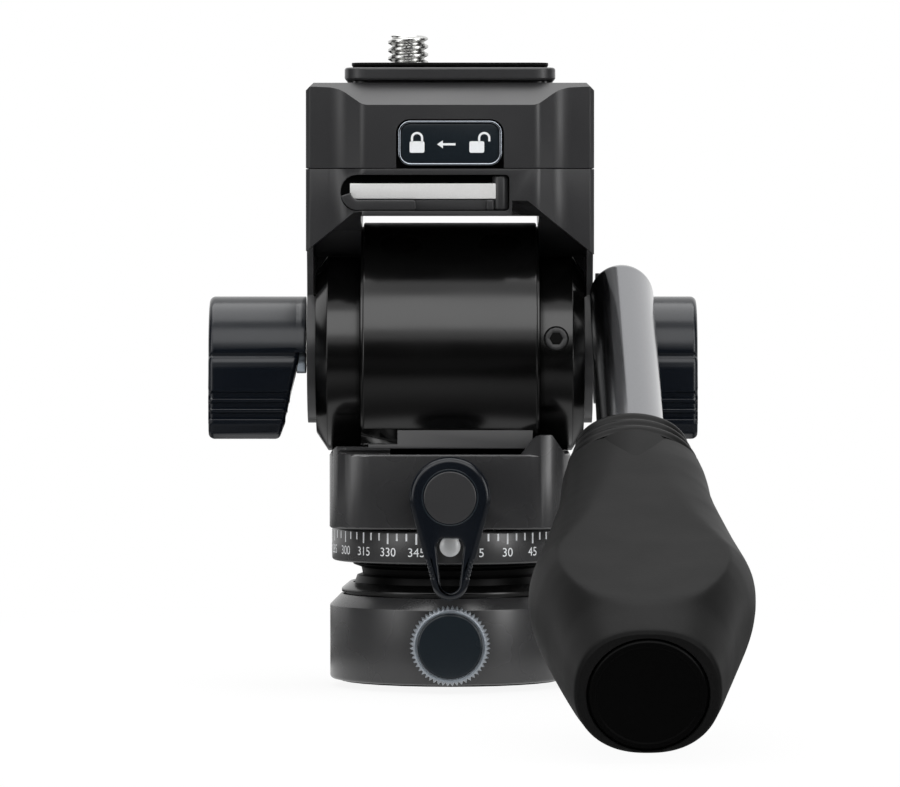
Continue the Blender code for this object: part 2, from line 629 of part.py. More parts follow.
def levelling_ball():
    """The ball with its neck, the slip ring under it and the pan bearing's fixed half."""
    inner = BALL_RADIUS + RUN_GAP
    shell = sphere_arc(inner + SLIP_RING_THICKNESS, SLIP_RING_HIGH, SLIP_RING_LOW, 2)
    shell += sphere_arc(inner, SLIP_RING_LOW, SLIP_RING_HIGH, 2)
    slip = turned('ball_slip_ring', shell, 'acetal', closed=True)
    carry(BODIES['slip'], slip)

    shaft_bore = PAN_SHAFT_RADIUS + RUN_GAP
    profile = [(shaft_bore, BALL_HUB_TOP), (BALL_HUB_RADIUS, BALL_HUB_TOP),
               (BALL_HUB_RADIUS, NECK_TOP_HEIGHT), (NECK_TOP_RADIUS, NECK_TOP_HEIGHT),
               (NECK_FOOT_RADIUS, NECK_FOOT_HEIGHT)]
    profile += sphere_arc(BALL_RADIUS, NECK_FOOT_HEIGHT, BALL_CUT_HEIGHT, 5)
    profile += [(BALL_POCKET_RADIUS, BALL_CUT_HEIGHT), (BALL_POCKET_RADIUS, BALL_POCKET_HEIGHT),
                (shaft_bore, BALL_POCKET_HEIGHT)]
    ball = turned('levelling_ball', profile, 'anodised_black', closed=True)

    head_high = BALL_POCKET_HEIGHT - RUN_GAP
    head_low = head_high - PAN_SHAFT_HEAD
    shaft = turned('pan_shaft', [(0, LOCK_DRUM_TOP), (PAN_SHAFT_RADIUS, LOCK_DRUM_TOP),
                                 (PAN_SHAFT_RADIUS, head_high), (PAN_SHAFT_HEAD_RADIUS, head_high),
                                 (PAN_SHAFT_HEAD_RADIUS, head_low), (0, head_low)],
                   'steel', steps=MID_STEPS)
    disc = tube('pan_damping_disc', PAN_DISC_RADIUS, shaft_bore, BALL_HUB_TOP + RUN_GAP, PAN_DISC_TOP,
                'acetal')
    spring = tube('pan_wave_spring', LOCK_DRUM_RADIUS, shaft_bore, PAN_SPRING_LOW,
                  PAN_SPRING_LOW + PAN_SPRING_THICKNESS, 'steel')
    drum = tube('pan_lock_drum', LOCK_DRUM_RADIUS, shaft_bore, LOCK_DRUM_LOW, LOCK_DRUM_TOP, 'steel')
    carry(BODIES['level'], ball, shaft, disc, spring, drum, *scale_ring())


def scale_ring():
    """The ring with the degree scale, and the domed stud at its zero."""
    inner = BALL_HUB_RADIUS + RUN_GAP
    ring = turned('scale_ring', [(inner, SCALE_TOP), (SCALE_RADIUS - SCALE_EDGE, SCALE_TOP),
                                 (SCALE_RADIUS, SCALE_TOP - SCALE_EDGE),
                                 (SCALE_RADIUS, SCALE_LOW + SCALE_EDGE),
                                 (SCALE_RADIUS - SCALE_EDGE, SCALE_LOW), (inner, SCALE_LOW)],
                  'anodised_black', closed=True)
    place = at(ALONG_MINUS_Y, (0, 0, SCALE_TOP - STUD_DROP))
    hole = cylinder('stud_hole', STUD_SHANK_RADIUS + FIT_GAP, SCALE_RADIUS - STUD_SHANK_LENGTH,
                    SCALE_RADIUS + OVERRUN, place=place, steps=SMALL_STEPS)
    boolean(ring, hole)
    seat = SCALE_RADIUS + FIT_GAP
    dome = [(wide * STUD_RADIUS, seat + high * STUD_DOME) for wide, high in STUD_DOME_SHARES]
    dome += [(STUD_SHANK_RADIUS, seat), (STUD_SHANK_RADIUS, SCALE_RADIUS - STUD_SHANK_LENGTH + FIT_GAP),
             (0, SCALE_RADIUS - STUD_SHANK_LENGTH + FIT_GAP)]
    stud = turned('zero_stud', dome, 'steel', place, SMALL_STEPS)
    return ring, stud


def barrel_outline(radius, seat_height):
    """The barrel's side view in Y and Z: a circle on the tilt axis with a flat underside."""
    start = math.degrees(math.asin((seat_height - TILT_HEIGHT) / radius))
    return arc((0, TILT_HEIGHT), radius, start, 180 - start, FINE_STEPS)


def ear_outline():
    """The front view of the ear: the housing's rim sweeps up to a peak beside the barrel."""
    points = [(0, HOUSING_SEAT)]
    for i in range(8):
        share = i / 7
        rise = EAR_HEIGHT * (1 - math.cos(math.pi * share)) / 2
        points.append((EAR_START + (EAR_PLACE - EAR_HALF_WIDTH - EAR_START) * share,
                       HOUSING_TOP - HOUSING_EDGE + rise))
    points.append((EAR_PLACE + EAR_HALF_WIDTH, HOUSING_TOP - HOUSING_EDGE + EAR_HEIGHT))
    points.append((HALF_HOUSING - HOUSING_EDGE, HOUSING_TOP - HOUSING_EDGE))
    points.append((HALF_HOUSING - HOUSING_EDGE, HOUSING_SEAT))
    return points


def pan_housing(barrel):
    """The turning housing with its saddle for the barrel, and the bearing in its bore."""
    plan = rounded_rectangle(HOUSING_WIDTH, HOUSING_WIDTH, HOUSING_CORNER, 5)
    housing = slab('pan_housing', [plan], HOUSING_LOW, HOUSING_TOP, 'anodised_black')
    bevel(housing, HOUSING_EDGE)
    front = HALF_HOUSING - RUN_GAP
    ear = slab('ear', [ear_outline()], front - EAR_THICKNESS, front, place=ALONG_MINUS_Y)
    boolean(housing, ear, 'UNION')
    stop_front = front - STOP_STEP / 2
    stop = slab('stop_block', [[(-HALF_HOUSING + HOUSING_EDGE, HOUSING_SEAT),
                                (-HALF_HOUSING + HOUSING_EDGE, HOUSING_TOP + STOP_STEP - HOUSING_EDGE),
                                (-HALF_HOUSING + 2 * HOUSING_EDGE, HOUSING_TOP + STOP_STEP),
                                (-HALF_HOUSING + STOP_LENGTH, HOUSING_TOP + STOP_STEP),
                                (-HALF_HOUSING + STOP_LENGTH, HOUSING_SEAT)]],
                stop_front - STOP_DEPTH, stop_front, place=ALONG_MINUS_Y)
    boolean(housing, stop, 'UNION')
    slot_low = HOUSING_TOP + FIT_GAP / 2
    slot_left = -HALF_HOUSING + 2 * HOUSING_EDGE + STOP_SLOT
    slot = slab('stop_slot', [[(slot_left, slot_low), (0, slot_low), (0, slot_low + STOP_SLOT),
                               (slot_left, slot_low + STOP_SLOT),
                               (slot_left - STOP_SLOT / 2, slot_low + STOP_SLOT / 2)]],
                stop_front - STOP_SLOT_DEPTH, stop_front + OVERRUN, place=ALONG_MINUS_Y)
    boolean(housing, slot)
    saddle = slab('saddle', [barrel_outline(BARREL_RADIUS + RUN_GAP, HOUSING_SEAT)],
                  -HALF_BARREL - RUN_GAP, HALF_BARREL + RUN_GAP, place=SIDEWAYS)
    boolean(housing, saddle)
    bore = cylinder('pan_bore', PAN_BORE_RADIUS, PAN_BEARING_LOW - RUN_GAP, HOUSING_SEAT + OVERRUN)
    boolean(housing, bore)
    throat = cylinder('pan_throat', PAN_BEARING_RADIUS - PAN_BEARING_LIP, HOUSING_LOW - OVERRUN,
                      PAN_BEARING_LOW)
    boolean(housing, throat)
    lever_place = at(ALONG_MINUS_Y, (0, 0, LEVER_HEIGHT))
    boolean(housing, cylinder('lever_hole', LEVER_SCREW_RADIUS + FIT_GAP, LOCK_DRUM_RADIUS,
                              HALF_HOUSING + OVERRUN, place=lever_place, steps=SMALL_STEPS))
    bearing = tube('pan_bearing', PAN_BEARING_RADIUS, PAN_SHAFT_RADIUS + RUN_GAP, PAN_BEARING_LOW,
                   PAN_BEARING_LOW + PAN_BEARING_WIDTH, 'steel')
    shoe = cylinder('pan_lock_shoe', LEVER_SHOE_RADIUS, LOCK_DRUM_RADIUS + RUN_GAP,
                    LOCK_DRUM_RADIUS + RUN_GAP + LEVER_SHOE_LENGTH, 'brass', lever_place, SMALL_STEPS)
    bolts = []
    for name, side in (('barrel_bolt_left', -1), ('barrel_bolt_right', 1)):
        spot = (side * BARREL_BOLT_SHARES[0] * HALF_BARREL, side * BARREL_BOLT_SHARES[1] * BARREL_RADIUS, 0)
        top = HOUSING_SEAT + RUN_GAP + BARREL_BOLT_GRIP
        head_low = HOUSING_LOW + RUN_GAP
        head_high = head_low + BARREL_BOLT_HEAD
        bolts.append(turned(name, [(0, top), (BARREL_BOLT_RADIUS, top), (BARREL_BOLT_RADIUS, head_high),
                                   (BARREL_BOLT_HEAD_RADIUS, head_high),
                                   (BARREL_BOLT_HEAD_RADIUS, head_low), (0, head_low)],
                            'steel', Matrix.Translation(spot), SMALL_STEPS))
        wide = BARREL_BOLT_HEAD_RADIUS + FIT_GAP
        slim = BARREL_BOLT_RADIUS + FIT_GAP
        hole = turned(name + '_hole', [(0, top + RUN_GAP), (slim, top + RUN_GAP),
                                       (slim, head_high + RUN_GAP), (wide, head_high + RUN_GAP),
                                       (wide, HOUSING_LOW - OVERRUN), (0, HOUSING_LOW - OVERRUN)],
                      place=Matrix.Translation(spot), steps=SMALL_STEPS)
        boolean(housing, hole)
        boolean(barrel, hole)
    carry(BODIES['pan'], housing, bearing, shoe, *bolts)


def lever_outline():
    """The drop shape of the pan-lock lever: two circles and the tangents between them."""
    lean = math.degrees(math.asin((LEVER_HUB_RADIUS - LEVER_TIP_RADIUS) / LEVER_LENGTH))
    points = arc((0, 0), LEVER_HUB_RADIUS, -lean, 180 + lean, 18)
    return points + arc((0, -LEVER_LENGTH), LEVER_TIP_RADIUS, 180 + lean, 360 - lean, 8)


def lever_slot():
    """The long window in the lever: a round foot that widens to a flat head."""
    half = LEVER_SLOT_WIDTH / 2
    corner = half / 4
    foot = (0, -LEVER_LENGTH)
    return arc(foot, LEVER_SLOT_TIP_RADIUS, 180, 360, 6) + [
        (half, -LEVER_SLOT_START - corner), (half - corner, -LEVER_SLOT_START),
        (corner - half, -LEVER_SLOT_START), (-half, -LEVER_SLOT_START - corner)]


def pan_lock_lever():
    """The lever on the front of the pan housing, with its boss and screw, and its hub disc."""
    place = at(ALONG_MINUS_Y, (0, 0, LEVER_HEIGHT))
    back = HALF_HOUSING + RUN_GAP
    low = back + LEVER_STAND_OFF
    high = low + LEVER_THICKNESS
    lever = slab('pan_lock_lever', [lever_outline(), lever_slot()], low, high, 'gloss_blue_black', place)
    bevel(lever, LEVER_BEVEL / 2)
    stem_in = LOCK_DRUM_RADIUS + LEVER_SHOE_LENGTH + 2 * RUN_GAP
    stem = [(0, low + LEVER_BEVEL), (LEVER_BOSS_RADIUS, low + LEVER_BEVEL), (LEVER_BOSS_RADIUS, back),
            (LEVER_SCREW_RADIUS, back), (LEVER_SCREW_RADIUS, stem_in), (0, stem_in)]
    boolean(lever, turned('lever_stem', stem, place=place, steps=MID_STEPS), 'UNION')
    pocket = high - LEVER_CAP_THICKNESS
    boolean(lever, cylinder('cap_pocket', LEVER_CAP_RADIUS + FIT_GAP, pocket, high + OVERRUN,
                            place=place))
    cap = cylinder('pan_lock_cap', LEVER_CAP_RADIUS, pocket + FIT_GAP, high, 'moulded_black', place,
                   edge=LEVER_CAP_THICKNESS / 4)
    carry(BODIES['pan_lever'], lever, cap)


def coil_mesh(name):
    """The counterbalance spring: one unbroken coil about the tilt axis."""
    curve = bpy.data.curves.new(name, 'CURVE')
    curve.dimensions = '3D'
    curve.bevel_depth = COIL_WIRE_RADIUS
    curve.bevel_resolution = 1
    curve.use_fill_caps = True
    spline = curve.splines.new('POLY')
    count = COIL_TURNS * COIL_STEPS + 1
    radius = BARREL_BORE_RADIUS - RUN_GAP - COIL_WIRE_RADIUS
    pitch = COIL_PITCH_SHARE * COIL_WIRE_RADIUS
    spline.points.add(count - 1)
    for i, point in enumerate(spline.points):
        turn = i / COIL_STEPS
        angle = 2 * math.pi * turn
        point.co = (radius * math.cos(angle), radius * math.sin(angle),
                    pitch * (turn - COIL_TURNS / 2), 1)
    return mesh_of_curve(curve)


def tilt_barrel():
    """The fixed barrel on the pan housing, with its bearings, dampers and spring."""
    barrel = slab('tilt_barrel', [barrel_outline(BARREL_RADIUS, HOUSING_SEAT + RUN_GAP)],
                  -HALF_BARREL, HALF_BARREL, 'anodised_black', SIDEWAYS)
    bevel(barrel, BARREL_EDGE)
    axis = at(SIDEWAYS, TILT_AXIS)
    notch_low = HOUSING_SEAT + BARREL_NOTCH_LOW
    notch = slab('barrel_notch', [[(-HALF_BARREL - OVERRUN, notch_low), (-BARREL_NOTCH_PLACE, notch_low),
                                   (-BARREL_NOTCH_PLACE, notch_low + BARREL_NOTCH_HEIGHT),
                                   (-HALF_BARREL - OVERRUN, notch_low + BARREL_NOTCH_HEIGHT)]],
                 BARREL_NOTCH_DEPTH, BARREL_RADIUS + OVERRUN, place=ALONG_MINUS_Y)
    boolean(barrel, notch)
    boolean(barrel, cylinder('barrel_bore', BARREL_BORE_RADIUS, -HALF_BARREL - OVERRUN,
                             HALF_BARREL + OVERRUN, place=axis))
    fit = BARREL_BORE_RADIUS - FIT_GAP
    inner = TILT_SHAFT_RADIUS + RUN_GAP
    pieces = [barrel]
    for name, side in (('left', -1), ('right', 1)):
        place = at(ALONG_X if side > 0 else ALONG_MINUS_X, TILT_AXIS)
        bearing_in = HALF_BARREL - BARREL_EDGE - TILT_BEARING_WIDTH
        pieces.append(tube('tilt_bearing_' + name, fit, inner, bearing_in, HALF_BARREL - BARREL_EDGE,
                           'steel', place))
        damper_out = bearing_in - RUN_GAP
        pieces.append(tube('fluid_damper_' + name, fit, inner, damper_out - DAMPER_THICKNESS,
                           damper_out, 'acetal', place))
    pieces.append(add('counterbalance_spring', coil_mesh('counterbalance_spring'), 'steel', axis))
    carry(BODIES['pan'], *pieces)
    return barrel


def hub_rings():
    """The two rings that close the barrel's ends, and the set screw in the right one."""
    bore = TILT_SHAFT_RADIUS + FIT_GAP
    rings = []
    for name, side in (('hub_ring_left', -1), ('hub_ring_right', 1)):
        profile = [(bore, RING_OUT), (RING_RADIUS - RING_CHAMFER_RADIAL, RING_OUT),
                   (RING_RADIUS, RING_OUT - RING_CHAMFER_AXIAL), (RING_RADIUS, RING_IN), (bore, RING_IN)]
        place = at(ALONG_X if side > 0 else ALONG_MINUS_X, TILT_AXIS)
        rings.append(turned(name, profile, 'anodised_black', place, closed=True))
    turn = Matrix.Rotation(math.pi / 2 - SET_SCREW_ANGLE, 4, 'X')
    place = at(turn, TILT_AXIS + Vector(((RING_IN + RING_OUT - RING_CHAMFER_AXIAL) / 2, 0, 0)))
    low = RING_RADIUS - SET_SCREW_LENGTH
    boolean(rings[1], cylinder('set_screw_hole', SET_SCREW_RADIUS + FIT_GAP, low - RUN_GAP,
                               RING_RADIUS + OVERRUN, place=place, steps=SMALL_STEPS))
    screw = cylinder('ring_set_screw', SET_SCREW_RADIUS, low, RING_RADIUS - FIT_GAP,
                     'anodised_black', place, SMALL_STEPS, edge=FIT_GAP)
    hexagon = arc((0, 0), SET_SCREW_HEX_RADIUS, 0, 300, 5)
    boolean(screw, slab('hex_socket', [hexagon], RING_RADIUS - SET_SCREW_HEX_DEPTH,
                        RING_RADIUS + OVERRUN, place=place))
    return [*rings, screw]


def block_plan():
    """The plan of yoke and clamp: a proud flat front that sweeps back to set-back sides."""
    flat = CLAMP_FLAT / 2
    corner = CLAMP_TOP_CHAMFER / 2
    run = HALF_YOKE - 2 * corner - flat
    front = []
    for i in range(9):
        share = i / 8
        back = CLAMP_SET_BACK * (1 - math.cos(math.pi * share ** CLAMP_SWEEP_SHARE)) / 2
        front.append((flat + run * share, YOKE_FRONT - back))
    front.append((HALF_YOKE - corner, YOKE_FRONT - CLAMP_SET_BACK - corner / 4))
    front.append((HALF_YOKE, YOKE_FRONT - CLAMP_SET_BACK - corner))
    quarter = front[::-1]
    return (quarter + [(-x, y) for x, y in front] + [(-x, -y) for x, y in quarter]
            + [(x, -y) for x, y in front])


def yoke_side():
    """The yoke's side view: a full-depth block on two waisted arms with round ends."""
    shoulder = TILT_HEIGHT + ARM_WAIST_RISE
    disc = arc((0, TILT_HEIGHT), ARM_RADIUS, *ARM_DISC_ANGLES, 20)
    half = YOKE_FRONT + OVERRUN
    top = YOKE_TOP + OVERRUN
    return ([(-half, top), (half, top), (half, shoulder), (ARM_WAIST / 2, shoulder)] + disc
            + [(-ARM_WAIST / 2, shoulder), (-half, shoulder)])


def scoop_outline(side, step):
    """One side's front view of the hollow under the diagonal edge; a step lifts its upper edge."""
    foot = TILT_HEIGHT + ARM_WAIST_RISE - FIT_GAP
    crest = YOKE_LOW + LEVER_POCKET_LIP + step
    start = CHEEK_START if step else RING_IN - FIT_GAP
    corner = start + (CHEEK_FLAT if step else DIAGONAL_START)
    outer = HALF_YOKE + OVERRUN
    edge = crest - DIAGONAL_RISE / DIAGONAL_RUN * (outer - corner)
    line = [(start, foot), (start, crest), (corner, crest), (outer, edge), (outer, foot)]
    return [(side * x, z) for x, z in line]


def yoke_scoop(yoke, name, face, side, step):
    """A hollow in the front or back of one arm: narrow on the arm, deep over the hub ring."""
    low = CHEEK_WEB if face < 0 else -YOKE_DEPTH
    high = YOKE_DEPTH if face < 0 else -CHEEK_WEB
    crest = YOKE_LOW + LEVER_POCKET_LIP + step
    drop = crest - TILT_HEIGHT - RING_RADIUS - RUN_GAP
    radius = ((YOKE_FRONT - CHEEK_WEB) ** 2 + drop ** 2) / (2 * drop)
    turn = ALONG_X if side > 0 else ALONG_MINUS_X
    wide = RING_OUT + 2 * RUN_GAP
    scoop = slab(name, [scoop_outline(side, step)], low, high, place=ALONG_MINUS_Y)
    arm_spot = Vector((0, face, TILT_HEIGHT + ARM_WAIST_RISE))
    roll = cylinder(name + '_arm_roll', SCOOP_RADIUS, wide - RUN_GAP / 2, HALF_YOKE + 2 * OVERRUN,
                    place=at(turn, arm_spot), steps=FINE_STEPS)
    cheek = cylinder(name + '_cheek_roll', radius, 0, wide, place=at(turn, (0, face, crest - radius)),
                     steps=FINE_STEPS)
    boolean(roll, cheek, 'UNION')
    boolean(scoop, roll, 'INTERSECT')
    boolean(yoke, scoop)


def tilt_yoke():
    """The yoke that straddles the barrel: block, two arms, lever pocket and bolt holes."""
    foot = TILT_HEIGHT - ARM_RADIUS - OVERRUN
    top = YOKE_TOP
    bridge = [(HALF_YOKE, foot), (HALF_YOKE, top), (-HALF_YOKE, top), (-HALF_YOKE, foot),
              (-RING_IN, foot), (-RING_IN, YOKE_LOW), (RING_IN, YOKE_LOW), (RING_IN, foot)]
    yoke = slab('tilt_yoke', [bridge], -YOKE_DEPTH, YOKE_DEPTH, 'anodised_black', ALONG_MINUS_Y)
    boolean(yoke, slab('yoke_side', [yoke_side()], -YOKE_WIDTH, YOKE_WIDTH, place=SIDEWAYS), 'INTERSECT')
    boolean(yoke, slab('yoke_plan', [block_plan()], foot - OVERRUN, top + OVERRUN),
            'INTERSECT')
    boolean(yoke, cylinder('ring_room', RING_RADIUS + RUN_GAP, -RING_OUT - RUN_GAP, RING_OUT + RUN_GAP,
                           place=at(SIDEWAYS, TILT_AXIS), steps=FINE_STEPS))
    yoke_scoop(yoke, 'front_scoop_left', -YOKE_FRONT, -1, 0)
    yoke_scoop(yoke, 'front_scoop_right', -YOKE_FRONT, 1, CHEEK_STEP)
    yoke_scoop(yoke, 'back_scoop_left', YOKE_FRONT, -1, 0)
    yoke_scoop(yoke, 'back_scoop_right', YOKE_FRONT, 1, 0)
    pocket_z = YOKE_LOW + LEVER_POCKET_LIP + LEVER_POCKET_HEIGHT / 2
    width = LEVER_POCKET_LEFT + LEVER_POCKET_RIGHT
    centre = ((LEVER_POCKET_RIGHT - LEVER_POCKET_LEFT) / 2, pocket_z)
    pocket = rounded_rectangle(width, LEVER_POCKET_HEIGHT, LEVER_POCKET_HEIGHT / 2 - FIT_GAP, 5, centre)
    corner = RELEASE_TAB_WIDTH / 4
    square = rounded_rectangle(width, LEVER_POCKET_HEIGHT, corner, 3, centre)
    outline = [point for point in square if point[0] > 0] + [point for point in pocket if point[0] < 0]
    outline.sort(key=lambda point: math.atan2(point[1] - centre[1], point[0] - centre[0]))
    boolean(yoke, slab('lever_pocket', [outline], YOKE_FRONT - LEVER_POCKET_DEPTH, YOKE_FRONT + OVERRUN,
                       place=ALONG_MINUS_Y))
    pin_x = LEVER_POCKET_RIGHT - RELEASE_TAB_WIDTH / 2
    pin_y = -YOKE_FRONT + LEVER_POCKET_DEPTH / 2
    pin_top = YOKE_TOP - FIT_GAP
    pin_hole = cylinder('pin_hole', RELEASE_PIN_RADIUS + FIT_GAP / 2, YOKE_LOW + FIT_GAP,
                        YOKE_TOP + OVERRUN, place=Matrix.Translation((pin_x, pin_y, 0)),
                        steps=SMALL_STEPS)
    boolean(yoke, pin_hole)
    pin = cylinder('release_pin', RELEASE_PIN_RADIUS, YOKE_LOW + 2 * FIT_GAP, pin_top, 'steel',
                   Matrix.Translation((pin_x, pin_y, 0)), SMALL_STEPS)
    release_lever(Vector((pin_x, pin_y, pocket_z)))

    end = HALF_YOKE - FIT_GAP
    reach = end + TILT_STUD_REACH
    shaft = turned('tilt_shaft', [(0, reach), (TILT_STUD_RADIUS, reach), (TILT_STUD_RADIUS, end),
                                  (TILT_SHAFT_RADIUS, end), (TILT_SHAFT_RADIUS, -end),
                                  (TILT_STUD_RADIUS, -end), (TILT_STUD_RADIUS, -reach), (0, -reach)],
                   'steel', at(SIDEWAYS, TILT_AXIS), MID_STEPS)
    clamp = clamp_body()
    bolts = clamp_bolts(yoke, clamp)
    boolean(yoke, cylinder('arm_bore', TILT_SHAFT_RADIUS + FIT_GAP, -YOKE_WIDTH, YOKE_WIDTH,
                           place=at(SIDEWAYS, TILT_AXIS)))
    carry(BODIES['tilt'], yoke, shaft, pin, clamp, *hub_rings(), *bolts)


def clamp_bolts(yoke, clamp):
    """The four bolts that hold the clamp on the yoke, with their counterbored holes."""
    bolts = []
    for name, x, y in (('clamp_bolt_front_left', -1, -1), ('clamp_bolt_front_right', 1, -1),
                       ('clamp_bolt_rear_left', -1, 1), ('clamp_bolt_rear_right', 1, 1)):
        place = Matrix.Translation((x * CLAMP_BOLT_X, y * CLAMP_BOLT_Y, 0))
        head_low = YOKE_LOW + RUN_GAP
        head_high = head_low + CLAMP_BOLT_HEAD
        top = CLAMP_LOW + CLAMP_BOLT_GRIP
        bolts.append(turned(name, [(0, top), (CLAMP_BOLT_RADIUS, top), (CLAMP_BOLT_RADIUS, head_high),
                                   (CLAMP_BOLT_HEAD_RADIUS, head_high),
                                   (CLAMP_BOLT_HEAD_RADIUS, head_low), (0, head_low)],
                            'steel', place, SMALL_STEPS))
        wide = CLAMP_BOLT_HEAD_RADIUS + FIT_GAP
        slim = CLAMP_BOLT_RADIUS + FIT_GAP
        hole = turned(name + '_hole', [(0, top + RUN_GAP), (slim, top + RUN_GAP),
                                       (slim, head_high + RUN_GAP), (wide, head_high + RUN_GAP),
                                       (wide, YOKE_LOW - OVERRUN), (0, YOKE_LOW - OVERRUN)],
                      place=place, steps=SMALL_STEPS)
        boolean(yoke, hole)
        boolean(clamp, hole)
    return bolts


def release_lever(pivot):
    """The bright release bar in the yoke's front pocket, with its pivot tab."""
    half = RELEASE_BAR_HEIGHT / 2
    thick = RELEASE_BAR_THICKNESS / 2
    bar = slab('release_lever', [rounded_rectangle(RELEASE_BAR_LENGTH, RELEASE_BAR_THICKNESS,
                                                   thick / 2, 3,
                                                   (-RELEASE_BAR_LENGTH / 2 - FIT_GAP, 0))],
               -half, half, 'steel', Matrix.Translation(pivot))
    tab_height = LEVER_POCKET_HEIGHT / 2 - 2 * FIT_GAP
    tab = cylinder('release_tab', RELEASE_TAB_WIDTH / 2 - FIT_GAP / 2, -tab_height, tab_height,
                   place=Matrix.Translation(pivot), steps=SMALL_STEPS)
    boolean(bar, tab, 'UNION')
    eye = cylinder('release_eye', RELEASE_PIN_RADIUS + FIT_GAP / 2, -LEVER_POCKET_HEIGHT,
                   LEVER_POCKET_HEIGHT, place=Matrix.Translation(pivot), steps=SMALL_STEPS)
    boolean(bar, eye)
    carry(body('release_pivot', pivot, BODIES['tilt']), bar)


def clamp_body():
    """The quick-release clamp: a block with sloped front and back, a socket and a button window."""
    clamp = slab('clamp_body', [block_plan()], CLAMP_LOW, CLAMP_TOP, 'anodised_black')
    slope_low = CLAMP_TOP - CLAMP_SLOPE_HEIGHT
    slope_in = YOKE_FRONT - CLAMP_SLOPE_DEPTH
    for name, side in (('front_slope', -1), ('back_slope', 1)):
        run = CLAMP_SLOPE_DEPTH / CLAMP_SLOPE_HEIGHT * OVERRUN
        wedge = [(side * (slope_in - run), CLAMP_TOP + OVERRUN),
                 (side * (YOKE_FRONT + run), slope_low - OVERRUN),
                 (side * (YOKE_FRONT + run), CLAMP_TOP + OVERRUN)]
        boolean(clamp, slab(name, [wedge], -YOKE_WIDTH, YOKE_WIDTH, place=SIDEWAYS))
    for name, side in (('left_chamfer', -1), ('right_chamfer', 1)):
        start = HALF_YOKE - CLAMP_TOP_CHAMFER
        wedge = [(side * (start - OVERRUN), CLAMP_TOP + OVERRUN),
                 (side * (HALF_YOKE + OVERRUN), CLAMP_TOP - CLAMP_TOP_CHAMFER - OVERRUN),
                 (side * (HALF_YOKE + OVERRUN), CLAMP_TOP + OVERRUN)]
        boolean(clamp, slab(name, [wedge], -YOKE_DEPTH, YOKE_DEPTH, place=ALONG_MINUS_Y))
    socket = rounded_rectangle(PLATE_FOOT_WIDTH + 2 * RUN_GAP, PLATE_FOOT_DEPTH + 2 * RUN_GAP,
                               PLATE_CORNER / 2)
    boolean(clamp, slab('foot_socket', [socket], SOCKET_FLOOR, CLAMP_TOP + OVERRUN))

    half = BUTTON_WIDTH / 2 + RUN_GAP
    top = CLAMP_LOW + BUTTON_HEIGHT + 2 * RUN_GAP
    corner = BUTTON_CORNER + RUN_GAP
    window = [(-half, CLAMP_LOW - OVERRUN), (half, CLAMP_LOW - OVERRUN)]
    window += arc((half - corner, top - corner), corner, 0, 90, 4)
    window += arc((corner - half, top - corner), corner, 90, 180, 4)
    depth = BUTTON_THICKNESS + BUTTON_SPRING_LENGTH + BUTTON_TRAVEL + 2 * RUN_GAP
    boolean(clamp, slab('button_window', [window], YOKE_FRONT - depth, YOKE_FRONT + OVERRUN,
                        place=ALONG_MINUS_Y))

    jaw_middle = FOOT_LOW + PLATE_FOOT_HEIGHT / 2 - FIT_GAP
    jaw_in = PLATE_FOOT_WIDTH / 2 - JAW_BITE
    jaw_out = jaw_in + JAW_LENGTH
    room_out = jaw_out + JAW_TRAVEL + RUN_GAP
    high = JAW_HEIGHT / 2 + RUN_GAP
    wide = JAW_WIDTH / 2 + RUN_GAP
    room = slab('jaw_room', [[(0, -wide), (room_out, -wide), (room_out, wide), (0, wide)]],
                jaw_middle - high, jaw_middle + high)
    boolean(clamp, room)
    jaw = slab('clamp_jaw', [rounded_rectangle(JAW_LENGTH, JAW_WIDTH, JAW_BITE / 2, 2,
                                               ((jaw_in + jaw_out) / 2, 0))],
               jaw_middle - JAW_HEIGHT / 2, jaw_middle + JAW_HEIGHT / 2, 'steel')
    carry(body('jaw_slide', (jaw_out, 0, jaw_middle), BODIES['tilt']), jaw)

    lock_button()
    plate(jaw_middle)
    return clamp


def lock_button():
    """The sprung lock button in the clamp's front, with its raised rim."""
    middle = CLAMP_LOW + FIT_GAP + BUTTON_HEIGHT / 2
    face = YOKE_FRONT - FIT_GAP
    rim = rounded_rectangle(BUTTON_WIDTH, BUTTON_HEIGHT, BUTTON_CORNER, 4, (0, middle))
    button = slab('lock_button', [rim], face - BUTTON_THICKNESS, face, 'anodised_black', ALONG_MINUS_Y)
    dish = rounded_rectangle(BUTTON_WIDTH - 2 * BUTTON_RIM, BUTTON_HEIGHT - 2 * BUTTON_RIM,
                             BUTTON_CORNER - BUTTON_RIM, 4, (0, middle))
    boolean(button, slab('button_dish', [dish], face - BUTTON_RIM_DEPTH, face + OVERRUN,
                         place=ALONG_MINUS_Y))
    back = face - BUTTON_THICKNESS - FIT_GAP
    spring = tube('button_spring', BUTTON_SPRING_RADIUS, BUTTON_SPRING_RADIUS * SPRING_BORE_SHARE,
                  back - BUTTON_SPRING_LENGTH, back, 'steel', at(ALONG_MINUS_Y, (0, 0, middle)),
                  SMALL_STEPS)
    carry(body('button_slide', (0, -face, middle), BODIES['tilt']), button, spring)


def screw_thread(radius, low, high, pitch):
    """Profile points of a ridged screw from its top down to a height."""
    core = radius - pitch / 2
    points = [(0, high), (core, high)]
    count = int((high - low) / pitch)
    for i in range(count):
        start = high - pitch / 4 - i * pitch
        crest, crest_end, foot = (start - pitch * share for share in THREAD_RIDGE_SHARES)
        points += [(radius, crest), (radius, crest_end), (core, foot)]
    return points


